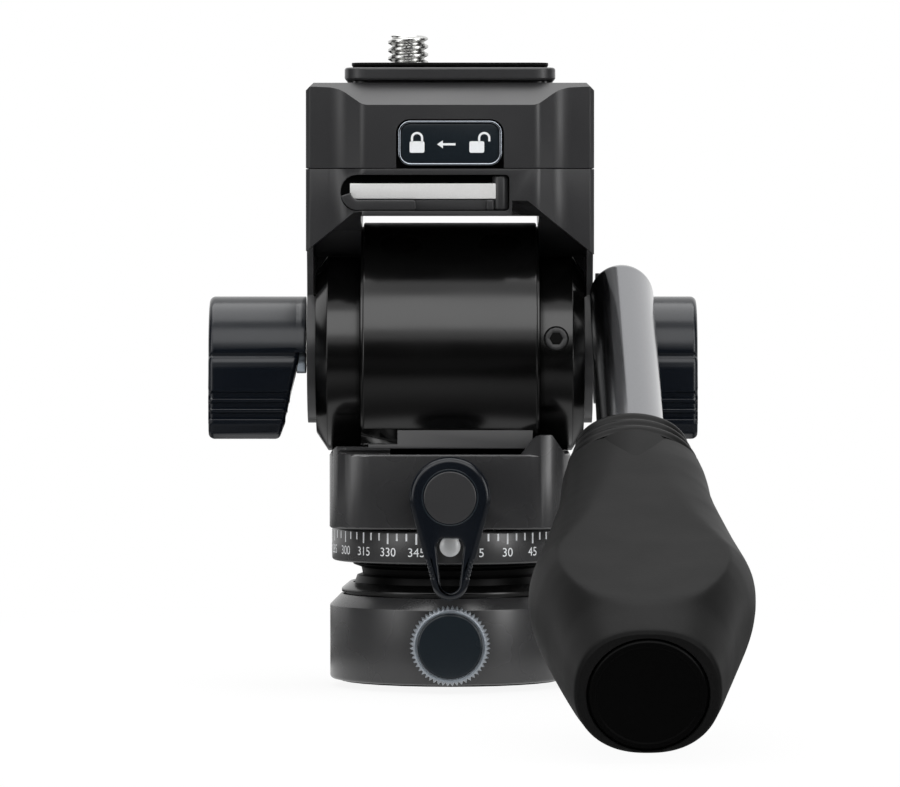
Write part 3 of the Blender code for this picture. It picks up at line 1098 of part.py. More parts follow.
def plate(jaw_middle):
    """The quick-release plate with its foot, its pad and the camera screw."""
    outline = rounded_rectangle(PLATE_WIDTH, PLATE_DEPTH, PLATE_CORNER)
    piece = slab('quick_release_plate', [outline], PLATE_LOW, PLATE_TOP, 'anodised_black')
    bevel(piece, PLATE_EDGE / 2)
    foot = slab('plate_foot', [rounded_rectangle(PLATE_FOOT_WIDTH, PLATE_FOOT_DEPTH, PLATE_CORNER / 2)],
                FOOT_LOW, PLATE_LOW + FIT_GAP)
    boolean(piece, foot, 'UNION')
    high = JAW_HEIGHT / 2 + RUN_GAP
    wide = JAW_WIDTH / 2 + RUN_GAP
    notch_in = PLATE_FOOT_WIDTH / 2 - JAW_BITE - RUN_GAP
    notch_out = PLATE_FOOT_WIDTH / 2 + OVERRUN
    notch = slab('jaw_notch', [[(notch_in, -wide), (notch_out, -wide), (notch_out, wide),
                                (notch_in, wide)]], jaw_middle - high, jaw_middle + high)
    boolean(piece, notch)
    spot = Matrix.Translation((-SCREW_OFFSET, 0, 0))
    head_low = FOOT_LOW + RUN_GAP
    head_high = head_low + SCREW_HEAD_THICKNESS
    wide = SCREW_HEAD_RADIUS + RUN_GAP
    slim = SCREW_RADIUS + RUN_GAP
    hole = turned('screw_hole', [(0, PAD_TOP + OVERRUN), (slim, PAD_TOP + OVERRUN),
                                 (slim, head_high + RUN_GAP), (wide, head_high + RUN_GAP),
                                 (wide, FOOT_LOW - OVERRUN), (0, FOOT_LOW - OVERRUN)],
                  place=spot, steps=MID_STEPS)
    boolean(piece, hole)
    pad = slab('plate_pad', [rounded_rectangle(PLATE_WIDTH - 2 * PAD_MARGIN, PLATE_DEPTH - 2 * PAD_MARGIN,
                                               PLATE_CORNER - PAD_MARGIN)],
               PLATE_TOP + FIT_GAP, PAD_TOP, 'rubber')
    boolean(pad, hole)
    carry(BODIES['tilt'], piece, pad)

    pitch = SCREW_PITCH
    top = PAD_TOP + SCREW_STAND
    profile = screw_thread(SCREW_RADIUS, PAD_TOP, top, pitch)
    profile += [(SCREW_RADIUS, PAD_TOP - PAD_THICKNESS), (SCREW_RADIUS, head_high),
                (SCREW_HEAD_RADIUS, head_high), (SCREW_HEAD_RADIUS, head_low), (0, head_low)]
    screw = turned('camera_screw', profile, 'steel', spot, SMALL_STEPS)
    half = SCREW_SLOT_WIDTH / 2
    long = SCREW_HEAD_RADIUS + OVERRUN
    slot = slab('screw_slot', [[(-long, -half), (long, -half), (long, half), (-long, half)]],
                head_low - OVERRUN, head_low + SCREW_SLOT_DEPTH, place=spot)
    boolean(screw, slot)
    carry(body('screw_turn', (-SCREW_OFFSET, 0, head_low), BODIES['tilt']), screw)


def grip_lever(name, side, inner, outer, neck, pivot):
    """A ridged lock lever on the tilt shaft's stud, with the disc that caps its screw."""
    place = at(SIDEWAYS, TILT_AXIS)
    outline = arc((0, 0), GRIP_LEVER_RADIUS, *GRIP_LEVER_HEAD_ANGLES, 18)
    outline += [(y * GRIP_LEVER_RADIUS, z * GRIP_LEVER_DROP) for y, z in PADDLE_SHARES]
    low = min(side * inner, side * outer)
    high = max(side * inner, side * outer)
    lever = slab(name, [outline], low, high, 'moulded_black', place)
    bevel(lever, GRIP_LEVER_EDGE)
    drop = GRIP_LEVER_DROP + OVERRUN
    taper = GRIP_LEVER_TAPER / GRIP_LEVER_DROP * drop
    wedge = [(side * (inner - FIT_GAP), 0), (side * (inner - FIT_GAP + taper), -drop),
             (side * (inner - taper), -drop)]
    boolean(lever, slab(name + '_taper', [wedge], -BARREL_RADIUS, BARREL_RADIUS,
                        place=at(ALONG_MINUS_Y, TILT_AXIS)))
    grooves = []
    front = -GRIP_LEVER_RADIUS - 2 * OVERRUN
    for i in range(GRIP_GROOVES):
        crest = -GRIP_GROOVE_TOP - i * GRIP_GROOVE_PITCH
        deep = -GROOVE_FACE_SHARE * GRIP_LEVER_RADIUS + GRIP_GROOVE_DEPTH
        grooves.append([(front, crest), (front, crest - GRIP_GROOVE_HEIGHT),
                        (deep, crest - GRIP_GROOVE_HEIGHT), (deep, crest)])
    boolean(lever, slab(name + '_grooves', grooves, low - OVERRUN, high + OVERRUN, place=place))
    turn = at(ALONG_X if side > 0 else ALONG_MINUS_X, TILT_AXIS)
    if neck:
        boolean(lever, cylinder(name + '_neck', GRIP_LEVER_NECK_RADIUS, inner - neck,
                                inner + GRIP_LEVER_EDGE, place=turn, steps=MID_STEPS), 'UNION')
    stud_end = HALF_YOKE - FIT_GAP + TILT_STUD_REACH
    boolean(lever, cylinder(name + '_bore', TILT_STUD_RADIUS + RUN_GAP, inner - neck - OVERRUN,
                            stud_end + RUN_GAP, place=turn, steps=SMALL_STEPS))
    boolean(lever, cylinder(name + '_recess', GRIP_CAP_RADIUS + FIT_GAP, outer - GRIP_CAP_THICKNESS,
                            outer + OVERRUN, place=turn))
    cap = cylinder(name + '_cap', GRIP_CAP_RADIUS, outer - GRIP_CAP_THICKNESS + FIT_GAP, outer,
                   'moulded_black', turn)
    carry(pivot, lever, cap)


def grip_levers():
    """The tilt-lock lever on the left and the handle's clamp lever on the right."""
    inner = HALF_YOKE + RUN_GAP + GRIP_LEVER_NECK
    spot = Vector((-inner, 0, 0)) + TILT_AXIS
    grip_lever('tilt_lock_lever', -1, inner, inner + GRIP_LEVER_WIDTH, GRIP_LEVER_NECK,
               body('tilt_lock_pivot', spot, BODIES['tilt']))
    inner = HALF_YOKE + RUN_GAP + LUG_THICKNESS + RUN_GAP
    spot = Vector((inner, 0, 0)) + TILT_AXIS
    grip_lever('handle_clamp_lever', 1, inner, inner + CLAMP_LEVER_WIDTH, 0,
               body('handle_clamp_pivot', spot, BODIES['tilt']))


def loft(name, rings, finish, place):
    """A closed skin over rings of points, each ring with the same number of points."""
    verts = [point for ring in rings for point in ring]
    count = len(rings[0])
    faces = [tuple(range(count))[::-1]]
    for i in range(len(rings) - 1):
        for j in range(count):
            k = (j + 1) % count
            faces.append((i * count + j, i * count + k, (i + 1) * count + k, (i + 1) * count + j))
    faces.append(tuple(range((len(rings) - 1) * count, len(rings) * count)))
    mesh = bpy.data.meshes.new(name)
    mesh.from_pydata(verts, [], faces)
    return add(name, mesh, finish, place)


def grip_ring(height, half_width, thumb, belly, flat):
    """One section of the grip: an egg shape whose thumb side is pressed flat."""
    points = []
    for i in range(MID_STEPS):
        angle = 2 * math.pi * i / MID_STEPS
        x = math.copysign(abs(math.cos(angle)) ** GRIP_ROUNDNESS, math.cos(angle)) * half_width
        y = math.sin(angle)
        if y > 0:
            y = min(y ** GRIP_ROUNDNESS * thumb, flat)
        else:
            y = y * belly
        points.append((x, y, height))
    return points


def collar_ring(share, half_width, half_height):
    """One section of the ridged collar."""
    height = GRIP_START + share * (SLEEVE_START - FIT_GAP - GRIP_START)
    return [(x * half_width, y * half_height, height) for x, y in arc((0, 0), 1, 0, 360, MID_STEPS)[:-1]]


def handle():
    """The pan handle: lug, rod, core, ridged collar, rubber sleeve and end cap."""
    place = at(Matrix.Rotation(math.pi / 2 + ROD_SLOPE, 4, 'X'), ROD_CORNER)
    rod_end = SLEEVE_START + ROD_INSERT
    stud_room = LUG_STUD_LENGTH - ROD_RADIUS
    hole = LUG_STUD_RADIUS + FIT_GAP
    dome = [(ROD_RADIUS * math.cos(math.radians(a)), -ROD_RADIUS * math.sin(math.radians(a)))
            for a in (0, 15, 30, 45, 60)]
    profile = [(0, rod_end), (ROD_RADIUS, rod_end), *dome,
               (hole, -math.sqrt(ROD_RADIUS ** 2 - hole ** 2)), (hole, stud_room), (0, stud_room)]
    rod = turned('handle_rod', profile, 'grey_tube', place, MID_STEPS)

    reach = ROD_RADIUS + RUN_GAP
    direction = Vector((0, -math.cos(ROD_SLOPE), -math.sin(ROD_SLOPE)))
    across = Vector((0, -math.sin(ROD_SLOPE), math.cos(ROD_SLOPE)))
    foot = ROD_CORNER - TILT_AXIS - reach * direction
    upper = foot + across * LUG_ARM_UPPER
    lower = foot - across * LUG_ARM_LOWER
    start = math.atan2(lower.z, lower.y) + math.acos(LUG_RADIUS / math.hypot(lower.y, lower.z))
    end = math.atan2(upper.z, upper.y) - math.acos(LUG_RADIUS / math.hypot(upper.y, upper.z))
    outline = arc((0, 0), LUG_RADIUS, math.degrees(start), 360 + math.degrees(end), 22)
    outline += [(upper.y, upper.z), (lower.y, lower.z)]
    low = HALF_YOKE + RUN_GAP
    lug = slab('handle_lug', [outline], low, low + LUG_THICKNESS, 'anodised_black',
               at(SIDEWAYS, TILT_AXIS))
    boolean(lug, cylinder('lug_eye', TILT_STUD_RADIUS + FIT_GAP, low - OVERRUN,
                          low + LUG_THICKNESS + OVERRUN, place=at(SIDEWAYS, TILT_AXIS),
                          steps=SMALL_STEPS))
    boolean(lug, cylinder('lug_stud', LUG_STUD_RADIUS, -reach - LUG_STUD_LENGTH / 2,
                          stud_room - RUN_GAP, place=place, steps=SMALL_STEPS), 'UNION')

    core_low = SLEEVE_START + RUN_GAP
    core_high = HANDLE_LENGTH - END_CAP_THICKNESS - 2 * RUN_GAP
    rod_room = rod_end + RUN_GAP
    plug_floor = core_high - CAP_PLUG_LENGTH
    plug_bore = CAP_PLUG_RADIUS + FIT_GAP
    core = turned('grip_core', [(0, plug_floor), (plug_bore, plug_floor), (plug_bore, core_high),
                                (GRIP_CORE_RADIUS, core_high), (GRIP_CORE_RADIUS, core_low),
                                (ROD_RADIUS + FIT_GAP, core_low), (ROD_RADIUS + FIT_GAP, rod_room),
                                (0, rod_room)], 'moulded_black', place, MID_STEPS)

    rings = []
    for along, wide, thumb, belly, flat in GRIP_SECTION_SHARES:
        rings.append(grip_ring(SLEEVE_START + along * (HANDLE_LENGTH - SLEEVE_START),
                               wide * GRIP_HALF_WIDTH, thumb * GRIP_THUMB_HEIGHT, belly * GRIP_BELLY,
                               flat * GRIP_THUMB_HEIGHT))
    sleeve = loft('grip_sleeve', rings, 'rubber', place)
    cap_low = HANDLE_LENGTH - END_CAP_THICKNESS - FIT_GAP
    bore = turned('sleeve_bore', [(0, HANDLE_LENGTH + OVERRUN),
                                  (END_CAP_RADIUS + FIT_GAP, HANDLE_LENGTH + OVERRUN),
                                  (END_CAP_RADIUS + FIT_GAP, cap_low),
                                  (GRIP_CORE_RADIUS + FIT_GAP, cap_low),
                                  (GRIP_CORE_RADIUS + FIT_GAP, SLEEVE_START - OVERRUN),
                                  (0, SLEEVE_START - OVERRUN)], place=place, steps=MID_STEPS)
    boolean(sleeve, bore)
    cap_back = HANDLE_LENGTH - END_CAP_THICKNESS
    cap = turned('grip_end_cap', [(0, HANDLE_LENGTH), (END_CAP_RADIUS - FIT_GAP, HANDLE_LENGTH),
                                  (END_CAP_RADIUS, HANDLE_LENGTH - FIT_GAP), (END_CAP_RADIUS, cap_back),
                                  (CAP_PLUG_RADIUS, cap_back), (CAP_PLUG_RADIUS, plug_floor + RUN_GAP),
                                  (0, plug_floor + RUN_GAP)], 'moulded_black', place, MID_STEPS)

    sections = []
    count = 2 * COLLAR_RIDGES * 2
    for i in range(count + 1):
        share = i / count
        for (a, wa, ha), (b, wb, hb) in zip(COLLAR_SECTION_SHARES, COLLAR_SECTION_SHARES[1:]):
            if a <= share <= b:
                blend = (share - a) / (b - a)
                wide = (wa + (wb - wa) * blend) * GRIP_HALF_WIDTH
                high = (ha + (hb - ha) * blend) * GRIP_BELLY
        ridge = COLLAR_RIDGE * math.sin(2 * math.pi * COLLAR_RIDGES * share)
        sections.append(collar_ring(share, wide + ridge, high + ridge))
    collar = loft('grip_collar', sections, 'moulded_black', place)
    boolean(collar, cylinder('collar_bore', ROD_RADIUS + FIT_GAP, GRIP_START - OVERRUN,
                             SLEEVE_START + OVERRUN, place=place))
    carry(BODIES['handle'], lug, rod, core, collar, sleeve, cap)


clear_scene()
PARTS = collection('fluid_video_head')
CUTTERS = collection('cutters')
ORIGINS = {}
BODIES = {'base': body('base', (0, 0, 0))}
BODIES['knob'] = body('knob', (0, -BASE_RADIUS, KNOB_HEIGHT), BODIES['base'])
BODIES['slip'] = body('slip', (0, 0, BALL_CENTRE_HEIGHT), BODIES['base'])
BODIES['level'] = body('level', (0, 0, BALL_CENTRE_HEIGHT), BODIES['slip'])
BODIES['pan'] = body('pan', (0, 0, HOUSING_LOW), BODIES['level'])
BODIES['pan_lever'] = body('pan_lever', (0, -HALF_HOUSING, LEVER_HEIGHT), BODIES['pan'])
BODIES['tilt'] = body('tilt', TILT_AXIS, BODIES['pan'])
BODIES['handle'] = body('handle', TILT_AXIS + Vector((HALF_YOKE, 0, 0)), BODIES['tilt'])

levelling_base()
levelling_knob()
levelling_ball()
pan_housing(tilt_barrel())
pan_lock_lever()
tilt_yoke()
grip_levers()
handle()
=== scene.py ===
"""Looks of a compact fluid video head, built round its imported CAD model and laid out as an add-on."""
import json
import math

import bmesh
import bpy
import numpy as np
from bpy.props import FloatProperty, FloatVectorProperty, IntProperty, PointerProperty
from mathutils import Matrix, Vector


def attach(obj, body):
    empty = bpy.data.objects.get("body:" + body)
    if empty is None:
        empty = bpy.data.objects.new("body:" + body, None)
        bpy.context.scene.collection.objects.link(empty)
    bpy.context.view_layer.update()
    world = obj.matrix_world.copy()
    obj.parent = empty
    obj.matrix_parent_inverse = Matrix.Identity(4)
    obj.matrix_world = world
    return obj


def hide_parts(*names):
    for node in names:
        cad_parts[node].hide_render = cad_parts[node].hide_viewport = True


bl_info = {
    "name": "Fluid video head",
    "version": (1, 0, 0),
    "blender": (4, 5, 0),
    "location": "View3D > Sidebar > Video head",
    "description": "Surfaces, finishes and studio of a compact fluid video head",
    "category": "Object",
}

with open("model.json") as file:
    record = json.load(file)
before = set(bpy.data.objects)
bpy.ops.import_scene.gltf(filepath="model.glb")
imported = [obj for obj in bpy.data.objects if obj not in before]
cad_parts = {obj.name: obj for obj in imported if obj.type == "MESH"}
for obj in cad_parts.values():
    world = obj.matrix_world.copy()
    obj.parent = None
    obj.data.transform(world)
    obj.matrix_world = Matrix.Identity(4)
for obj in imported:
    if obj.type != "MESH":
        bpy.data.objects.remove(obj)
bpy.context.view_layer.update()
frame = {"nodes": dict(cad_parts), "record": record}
MM = 0.001

# Turns from a piece's own Z axis to a world axis
ALONG_Z = Matrix.Identity(4)
TOWARDS_X = Matrix(((0, 0, 1, 0), (1, 0, 0, 0), (0, 1, 0, 0), (0, 0, 0, 1)))
TOWARDS_FRONT = Matrix(((1, 0, 0, 0), (0, 0, -1, 0), (0, 1, 0, 0), (0, 0, 0, 1)))

# Heights, radii and places in mm as the CAD model has them, with the handle's droop in degrees
KNOB_HEIGHT = 6.6
STUD_HEIGHT = 21.95
PAN_LEVER_HEIGHT = 29.8
TILT_HEIGHT = 51.6
RELEASE_HEIGHT = 77.1
BUTTON_HEIGHT = 84.55
BARREL_RADIUS = 20.6
BALL_HEIGHT = 11
RING_RADIUS = 18.65
PLATE_HOLE_X = -6.6
HANDLE_CORNER = (26.7, -15.5, 60.7)
HANDLE_DROOP = 20.6
LEVER_RADIUS = 8.95
LEVER_DROP = 13.4
# Degrees between two faces of a machined form past which their edge is crisp
CRISP_ANGLE = 28
# How far the printed scale is turned from the front, in degrees
SCALE_TURN = -1.3
# Rounding of the rims of cutting tools and print, too small to see
TUCK = 0.01


def facing_front(height):
    """A place on the front at a height in mm, whose Z axis points out of the front."""
    return Matrix.Translation((0, 0, height * MM)) @ TOWARDS_FRONT


def tilt_axis():
    """The place of the tilt axis, whose Z axis runs along it."""
    return Matrix.Translation((0, 0, TILT_HEIGHT * MM)) @ TOWARDS_X


def srgb(text):
    """A hex colour as the linear colour that a shader takes."""
    values = np.array([int(text[i:i + 2], 16) for i in (1, 3, 5)]) / 255
    linear = np.where(values <= 0.04045, values / 12.92, ((values + 0.055) / 1.055) ** 2.4)
    return (*(float(v) for v in linear), 1.0)


def node(tree, kind, settings=None, **inputs):
    """Add a shader node; each input is a value, or a (node, output) pair to link."""
    made = tree.nodes.new(kind)
    for name, value in (settings or {}).items():
        setattr(made, name, value)
    for name, value in inputs.items():
        socket = made.inputs[int(name[1:])] if name[0] == "_" else made.inputs[name.replace("_", " ")]
        if isinstance(value, tuple) and hasattr(value[0], "outputs"):
            tree.links.new(value[0].outputs[value[1]], socket)
        else:
            socket.default_value = value
    return made


def ramp(tree, source, stops):
    """A colour ramp over a value, with (place, hex colour) stops."""
    made = node(tree, "ShaderNodeValToRGB", _0=source)
    elements = made.color_ramp.elements
    while len(elements) < len(stops):
        elements.new(0.5)
    for element, (place, colour) in zip(elements, stops):
        element.position = place
        element.color = srgb(colour)
    return made


def new_object(name, data):
    """A new object in the scene."""
    made = bpy.data.objects.new(name, data)
    bpy.context.scene.collection.objects.link(made)
    return made


def new_material(name, **inputs):
    """A material with its tree and shader, and constants on the shader's sockets."""
    made = bpy.data.materials.new(name)
    made.use_nodes = True
    shader = made.node_tree.nodes["Principled BSDF"]
    for socket, value in inputs.items():
        shader.inputs[socket.replace("_", " ")].default_value = value
    return made, made.node_tree, shader


def finish_with(name, colour, metallic, rough, grain_mm, bump, spread=0.06, dark=None,
                stretch=(1, 1, 1), ior=1.5):
    """A base finish: fine grain in bump and colour, slow drift in roughness, both at real sizes."""
    made, tree, shader = new_material(name, Metallic=metallic, IOR=ior)
    place = node(tree, "ShaderNodeTexCoord")
    turned = node(tree, "ShaderNodeMapping", Vector=(place, "Object"), Scale=stretch)
    grain = node(tree, "ShaderNodeTexNoise", Vector=(turned, "Vector"), Scale=1 / (grain_mm * MM),
                 Detail=3.0, Roughness=0.6)
    drift = node(tree, "ShaderNodeTexNoise", Vector=(place, "Object"), Scale=1 / (9 * MM), Detail=2.0)
    level = node(tree, "ShaderNodeMapRange", Value=(drift, "Fac"), To_Min=rough - spread,
                 To_Max=rough + spread, From_Min=0.3, From_Max=0.7)
    tree.links.new(level.outputs["Result"], shader.inputs["Roughness"])
    shade = ramp(tree, (grain, "Fac"), ((0.3, dark or colour), (0.7, colour)))
    tree.links.new(shade.outputs["Color"], shader.inputs["Base Color"])
    relief = node(tree, "ShaderNodeBump", Strength=bump, Distance=grain_mm * MM * 0.25,
                  Height=(grain, "Fac"))
    tree.links.new(relief.outputs["Normal"], shader.inputs["Normal"])
    return made


def make_finishes():
    """Every finish of the head, by what the real one is."""
    return {
        # Bead-blasted and black anodised aluminium: a satin sheen that picks up soft grey bands
        "anodised_black": finish_with("black_anodised_aluminium", "#303031", 0.0, 0.3, 0.16, 0.1,
                                      spread=0.025, dark="#2c2c2d", ior=1.4),
        # The anodising over lathe-turned walls: tighter bands
        "anodised_turned": finish_with("turned_black_anodising", "#2a2a2b", 0.0, 0.27, 0.18, 0.06,
                                       spread=0.02, dark="#262627", ior=1.58),
        # The same anodising over the barrel and rings, polished, so deeper and sharper
        "anodised_gloss": finish_with("polished_black_anodising", "#050505", 0.0, 0.19, 0.2, 0.03,
                                      spread=0.02, dark="#040404", ior=1.5),
        # Blue-black anodising on the faces of knob and button and the pan lever's hub: a soft shine
        "gloss_blue_black": finish_with("blue_black_anodising", "#171e23", 0.0, 0.25, 0.25, 0.05,
                                        spread=0.03, dark="#141a1f", ior=1.3),
        # Levers, cast and coated in a deep blue black that mirrors softly
        "lever_blue": finish_with("coated_blue_black", "#0b1017", 0.1, 0.22, 0.3, 0.04, spread=0.02,
                                  dark="#090d13", ior=1.42),
        # Nitrile rubber with a fine moulded skin: no metal, wide soft highlight
        "rubber": finish_with("moulded_rubber", "#151515", 0.0, 0.44, 0.32, 0.2, spread=0.03,
                              dark="#121212", ior=1.11),
        # Glass-filled nylon: matt with a fine spark-eroded texture from its mould
        "moulded_black": finish_with("glass_filled_nylon", "#070707", 0.0, 0.34, 0.22, 0.08,
                                     spread=0.03, dark="#050505", ior=1.14),
        # Machined steel, bright, drawn by the tool
        "steel": finish_with("machined_steel", "#c9c9c7", 1.0, 0.24, 0.12, 0.08, dark="#b4b4b2",
                             stretch=(0.2, 1, 1)),
        # Polished tube under a dark grey anodising: it mirrors the room in long bands
        "grey_tube": finish_with("grey_anodised_tube", "#87888b", 1.0, 0.15, 0.3, 0.02, spread=0.01,
                                 dark="#818285"),
        # Satin nickel on the release bar: pale, with a wide highlight
        "bright_bar": finish_with("satin_nickel_bar", "#d6d6d5", 0.25, 0.35, 0.2, 0.02, spread=0.03,
                                  dark="#cfcfce"),
        # Hidden bushes: bare turned brass, and acetal, which is waxy and pale
        "brass": finish_with("bare_brass", "#c9a25c", 1.0, 0.3, 0.14, 0.06, dark="#b9924c"),
        "acetal": finish_with("natural_acetal", "#dedcd4", 0.0, 0.4, 0.3, 0.04, dark="#d6d4cb"),
        # White pad-printed ink on the scale and the button: matt and even
        "white_ink": finish_with("white_print", "#e4e6e8", 0.0, 0.5, 0.08, 0.05, dark="#d8dadc"),
        # Edges left bright where the tool cut through the anodising
        "bright_cut": finish_with("bright_turned_edge", "#a4aab2", 1.0, 0.2, 0.1, 0.05,
                                  dark="#8e949c"),
        # Knurled teeth in one pale grey all over, and the dull turned ring inside them
        "knurl_grey": finish_with("knurled_anodising", "#8f959b", 0.2, 0.3, 0.1, 0.04, dark="#868c93"),
        "dull_cut": finish_with("dull_turned_edge", "#868e96", 1.0, 0.3, 0.1, 0.05, dark="#787f86"),
        # The stud on the scale, a pale satin nickel
        "pale_stud": finish_with("satin_nickel", "#d2d3d4", 0.15, 0.4, 0.12, 0.04, dark="#c8c9ca"),
    }


FINISHES = {}


def keep(piece, body, finish, *nodes):
    """Give a piece its finish, body and slot, and let it stand for its CAD nodes."""
    piece.data.materials.clear()
    piece.data.materials.append(FINISHES[finish])
    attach(piece, body)
    if nodes:
        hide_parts(*nodes)


def link(name, mesh, angle=35):
    """An object at the origin, unturned and unscaled, with smooth faces up to an angle."""
    mesh.shade_smooth()
    mesh.set_sharp_from_angle(angle=math.radians(angle))
    return new_object(name, mesh)


def surface(name, points, place=ALONG_Z, caps=True, angle=35):
    """A grid of points made into a skin: rows along the first index, rings along the second."""
    rows, count = points.shape[:2]
    flat = points.reshape(-1, 3) * MM
    turn = np.array(place)
    flat = flat @ turn[:3, :3].T + turn[:3, 3]
    i = np.arange(rows - 1)[:, None]
    j = np.arange(count)[None, :]
    k = (j + 1) % count
    quads = np.stack((i * count + j, i * count + k, (i + 1) * count + k, (i + 1) * count + j), -1)
    faces = quads.reshape(-1, 4).tolist()
    if caps:
        faces.append(list(range(count))[::-1])
        faces.append(list(range((rows - 1) * count, rows * count)))
    mesh = bpy.data.meshes.new(name)
    mesh.from_pydata(flat.tolist(), [], faces)
    clean = bmesh.new()
    clean.from_mesh(mesh)
    bmesh.ops.remove_doubles(clean, verts=clean.verts, dist=0.0005 * MM)
    bmesh.ops.dissolve_degenerate(clean, edges=clean.edges, dist=0.0005 * MM)
    bmesh.ops.recalc_face_normals(clean, faces=clean.faces)
    clean.to_mesh(mesh)
    clean.free()
    return link(name, mesh, angle)


def rounded(points, radius, steps=4):
    """A polyline whose corners become arcs: each corner is cut back by its tangent length."""
    points = [np.array(p, float) for p in points]
    radii = radius if isinstance(radius, (list, tuple)) else [radius] * len(points)
    out = [points[0]]
    for before, corner, after, size in zip(points, points[1:], points[2:], radii[1:]):
        a = before - corner
        b = after - corner
        la, lb = np.linalg.norm(a), np.linalg.norm(b)
        if size <= 0 or la < 1e-9 or lb < 1e-9:
            out.append(corner)
            continue
        a, b = a / la, b / lb
        half = math.acos(float(np.clip(a @ b, -1, 1))) / 2
        if half > math.radians(89):
            out.append(corner)
            continue
        cut = min(size / math.tan(half), la * 0.48, lb * 0.48)
        size = cut * math.tan(half)
        centre = corner + (a + b) / np.linalg.norm(a + b) * size / math.sin(half)
        start, end = corner + a * cut - centre, corner + b * cut - centre
        for t in np.linspace(0, 1, steps + 1):
            angle = math.pi - 2 * half
            way = (math.sin((1 - t) * angle) * start + math.sin(t * angle) * end) / math.sin(angle)
            out.append(centre + way)
    out.append(points[-1])
    return np.array(out)


def full_turn(steps):
    """Angles round one whole turn, as a row."""
    return np.linspace(0, 2 * math.pi, steps, endpoint=False)[None, :]


def around(radius, u, height):
    """Points round the Z axis: x = r cos u, y = r sin u, z = the height."""
    return np.stack((radius * np.cos(u), radius * np.sin(u), height + 0 * u), -1)


def turned(name, profile, place=ALONG_Z, steps=144, closed=False):
    """A profile of (radius, height) in mm carried round an axis."""
    profile = np.array(profile, float)
    if closed:
        profile = np.vstack((profile, profile[:1]))
    return surface(name, around(profile[:, :1], full_turn(steps), profile[:, 1:]), place, caps=False)


def shrink(outline, amount):
    """An outline moved inwards along its corner normals by an amount in mm."""
    ahead = np.roll(outline, -1, 0) - outline
    back = outline - np.roll(outline, 1, 0)
    ahead /= np.linalg.norm(ahead, axis=1, keepdims=True)
    back /= np.linalg.norm(back, axis=1, keepdims=True)
    na = np.stack((-ahead[:, 1], ahead[:, 0]), 1)
    nb = np.stack((-back[:, 1], back[:, 0]), 1)
    middle = (na + nb) / np.maximum(1 + (na * nb).sum(1, keepdims=True), 0.35)
    return outline + middle * amount


def box(name, low, high):
    """A plain box between two corners in mm."""
    (x, y, z), (p, q, r) = low, high
    corners = [[(x, y, h), (p, y, h), (p, q, h), (x, q, h)] for h in (z, r)]
    return surface(name, np.array(corners, float))


def cut(piece, tool, operation="DIFFERENCE"):
    """Cut a piece with a tool, keep the cut mesh and drop the tool."""
    step = piece.modifiers.new("cut", "BOOLEAN")
    step.operation = operation
    step.object = tool
    step.solver = "EXACT"
    bpy.context.view_layer.update()
    mesh = bpy.data.meshes.new_from_object(piece.evaluated_get(bpy.context.evaluated_depsgraph_get()))
    piece.modifiers.clear()
    piece.data = mesh
    bpy.data.objects.remove(tool)


def rolled(edge, steps):
    """Insets and rises of a rim rolled over by a quarter circle, from its wall to its flat."""
    t = np.linspace(0, math.pi / 2, steps + 1)
    return edge * (1 - np.cos(t)), edge * (1 - np.sin(t))


def rings(rows):
    """One ring of points for each (outline, inset, height): the outline shrunk and laid at a height."""
    return np.stack([np.column_stack((shrink(line, inset), np.full(len(line), height)))
                     for line, inset, height in rows])


def prism(name, outline, low, high, edge, place=ALONG_Z, steps=4):
    """An outline carried from low to high, with its rims rolled over by quarter circles of one radius."""
    outline = np.array(outline, float)
    area = (outline[:, 0] * np.roll(outline[:, 1], -1) - outline[:, 1] * np.roll(outline[:, 0], -1)).sum()
    if area < 0:
        outline = outline[::-1]
    inset, rise = rolled(edge, steps)
    rows = [(outline, i, low + h) for i, h in zip(inset[::-1], rise[::-1])]
    rows += [(outline, i, high - h) for i, h in zip(inset, rise)]
    return surface(name, rings(rows), place)


def arc(centre, radius, start, end, steps=12):
    """Points in mm on a circle between two angles in degrees."""
    t = np.radians(np.linspace(start, end, steps + 1))
    return np.column_stack((centre[0] + radius * np.cos(t), centre[1] + radius * np.sin(t)))


def rounded_box(width, height, corner, centre=(0, 0), steps=8):
    """The outline of a rectangle with round corners, in mm."""
    x, y = width / 2 - corner, height / 2 - corner
    corners = ((1, 1), (-1, 1), (-1, -1), (1, -1))
    return np.vstack([arc((centre[0] + sx * x, centre[1] + sy * y), corner, 90 * i, 90 * i + 90, steps)
                      for i, (sx, sy) in enumerate(corners)])


def refined(name, node_name, width=None, front=None):
    """A merged copy of a CAD node, with fine rounds or with its front and back pushed out to a plane."""
    mesh = frame["nodes"][node_name].data.copy()
    clean = bmesh.new()
    clean.from_mesh(mesh)
    bmesh.ops.remove_doubles(clean, verts=clean.verts, dist=0.002 * MM)
    bmesh.ops.dissolve_limit(clean, angle_limit=math.radians(1), verts=clean.verts, edges=clean.edges)
    for vertex in clean.verts if front else ():
        if abs(vertex.co.y) > plan_depth(abs(vertex.co.x) / MM) * MM - 0.05 * MM:
            vertex.co.y = math.copysign(front * MM, vertex.co.y)
    bmesh.ops.recalc_face_normals(clean, faces=clean.faces)
    clean.to_mesh(mesh)
    clean.free()
    piece = link(name, mesh, CRISP_ANGLE)
    return bevelled(piece, width) if width else piece


def plan_depth(x):
    """How far forward the CAD plan of the yoke stands at a distance from the middle, in mm."""
    run = min(max((x - 12.5) / 8.7, 0), 1)
    return 21 - 1.75 * (1 - math.cos(math.pi * run ** 0.85)) - 0.75 * max(x - 21.2, 0) / 1.2


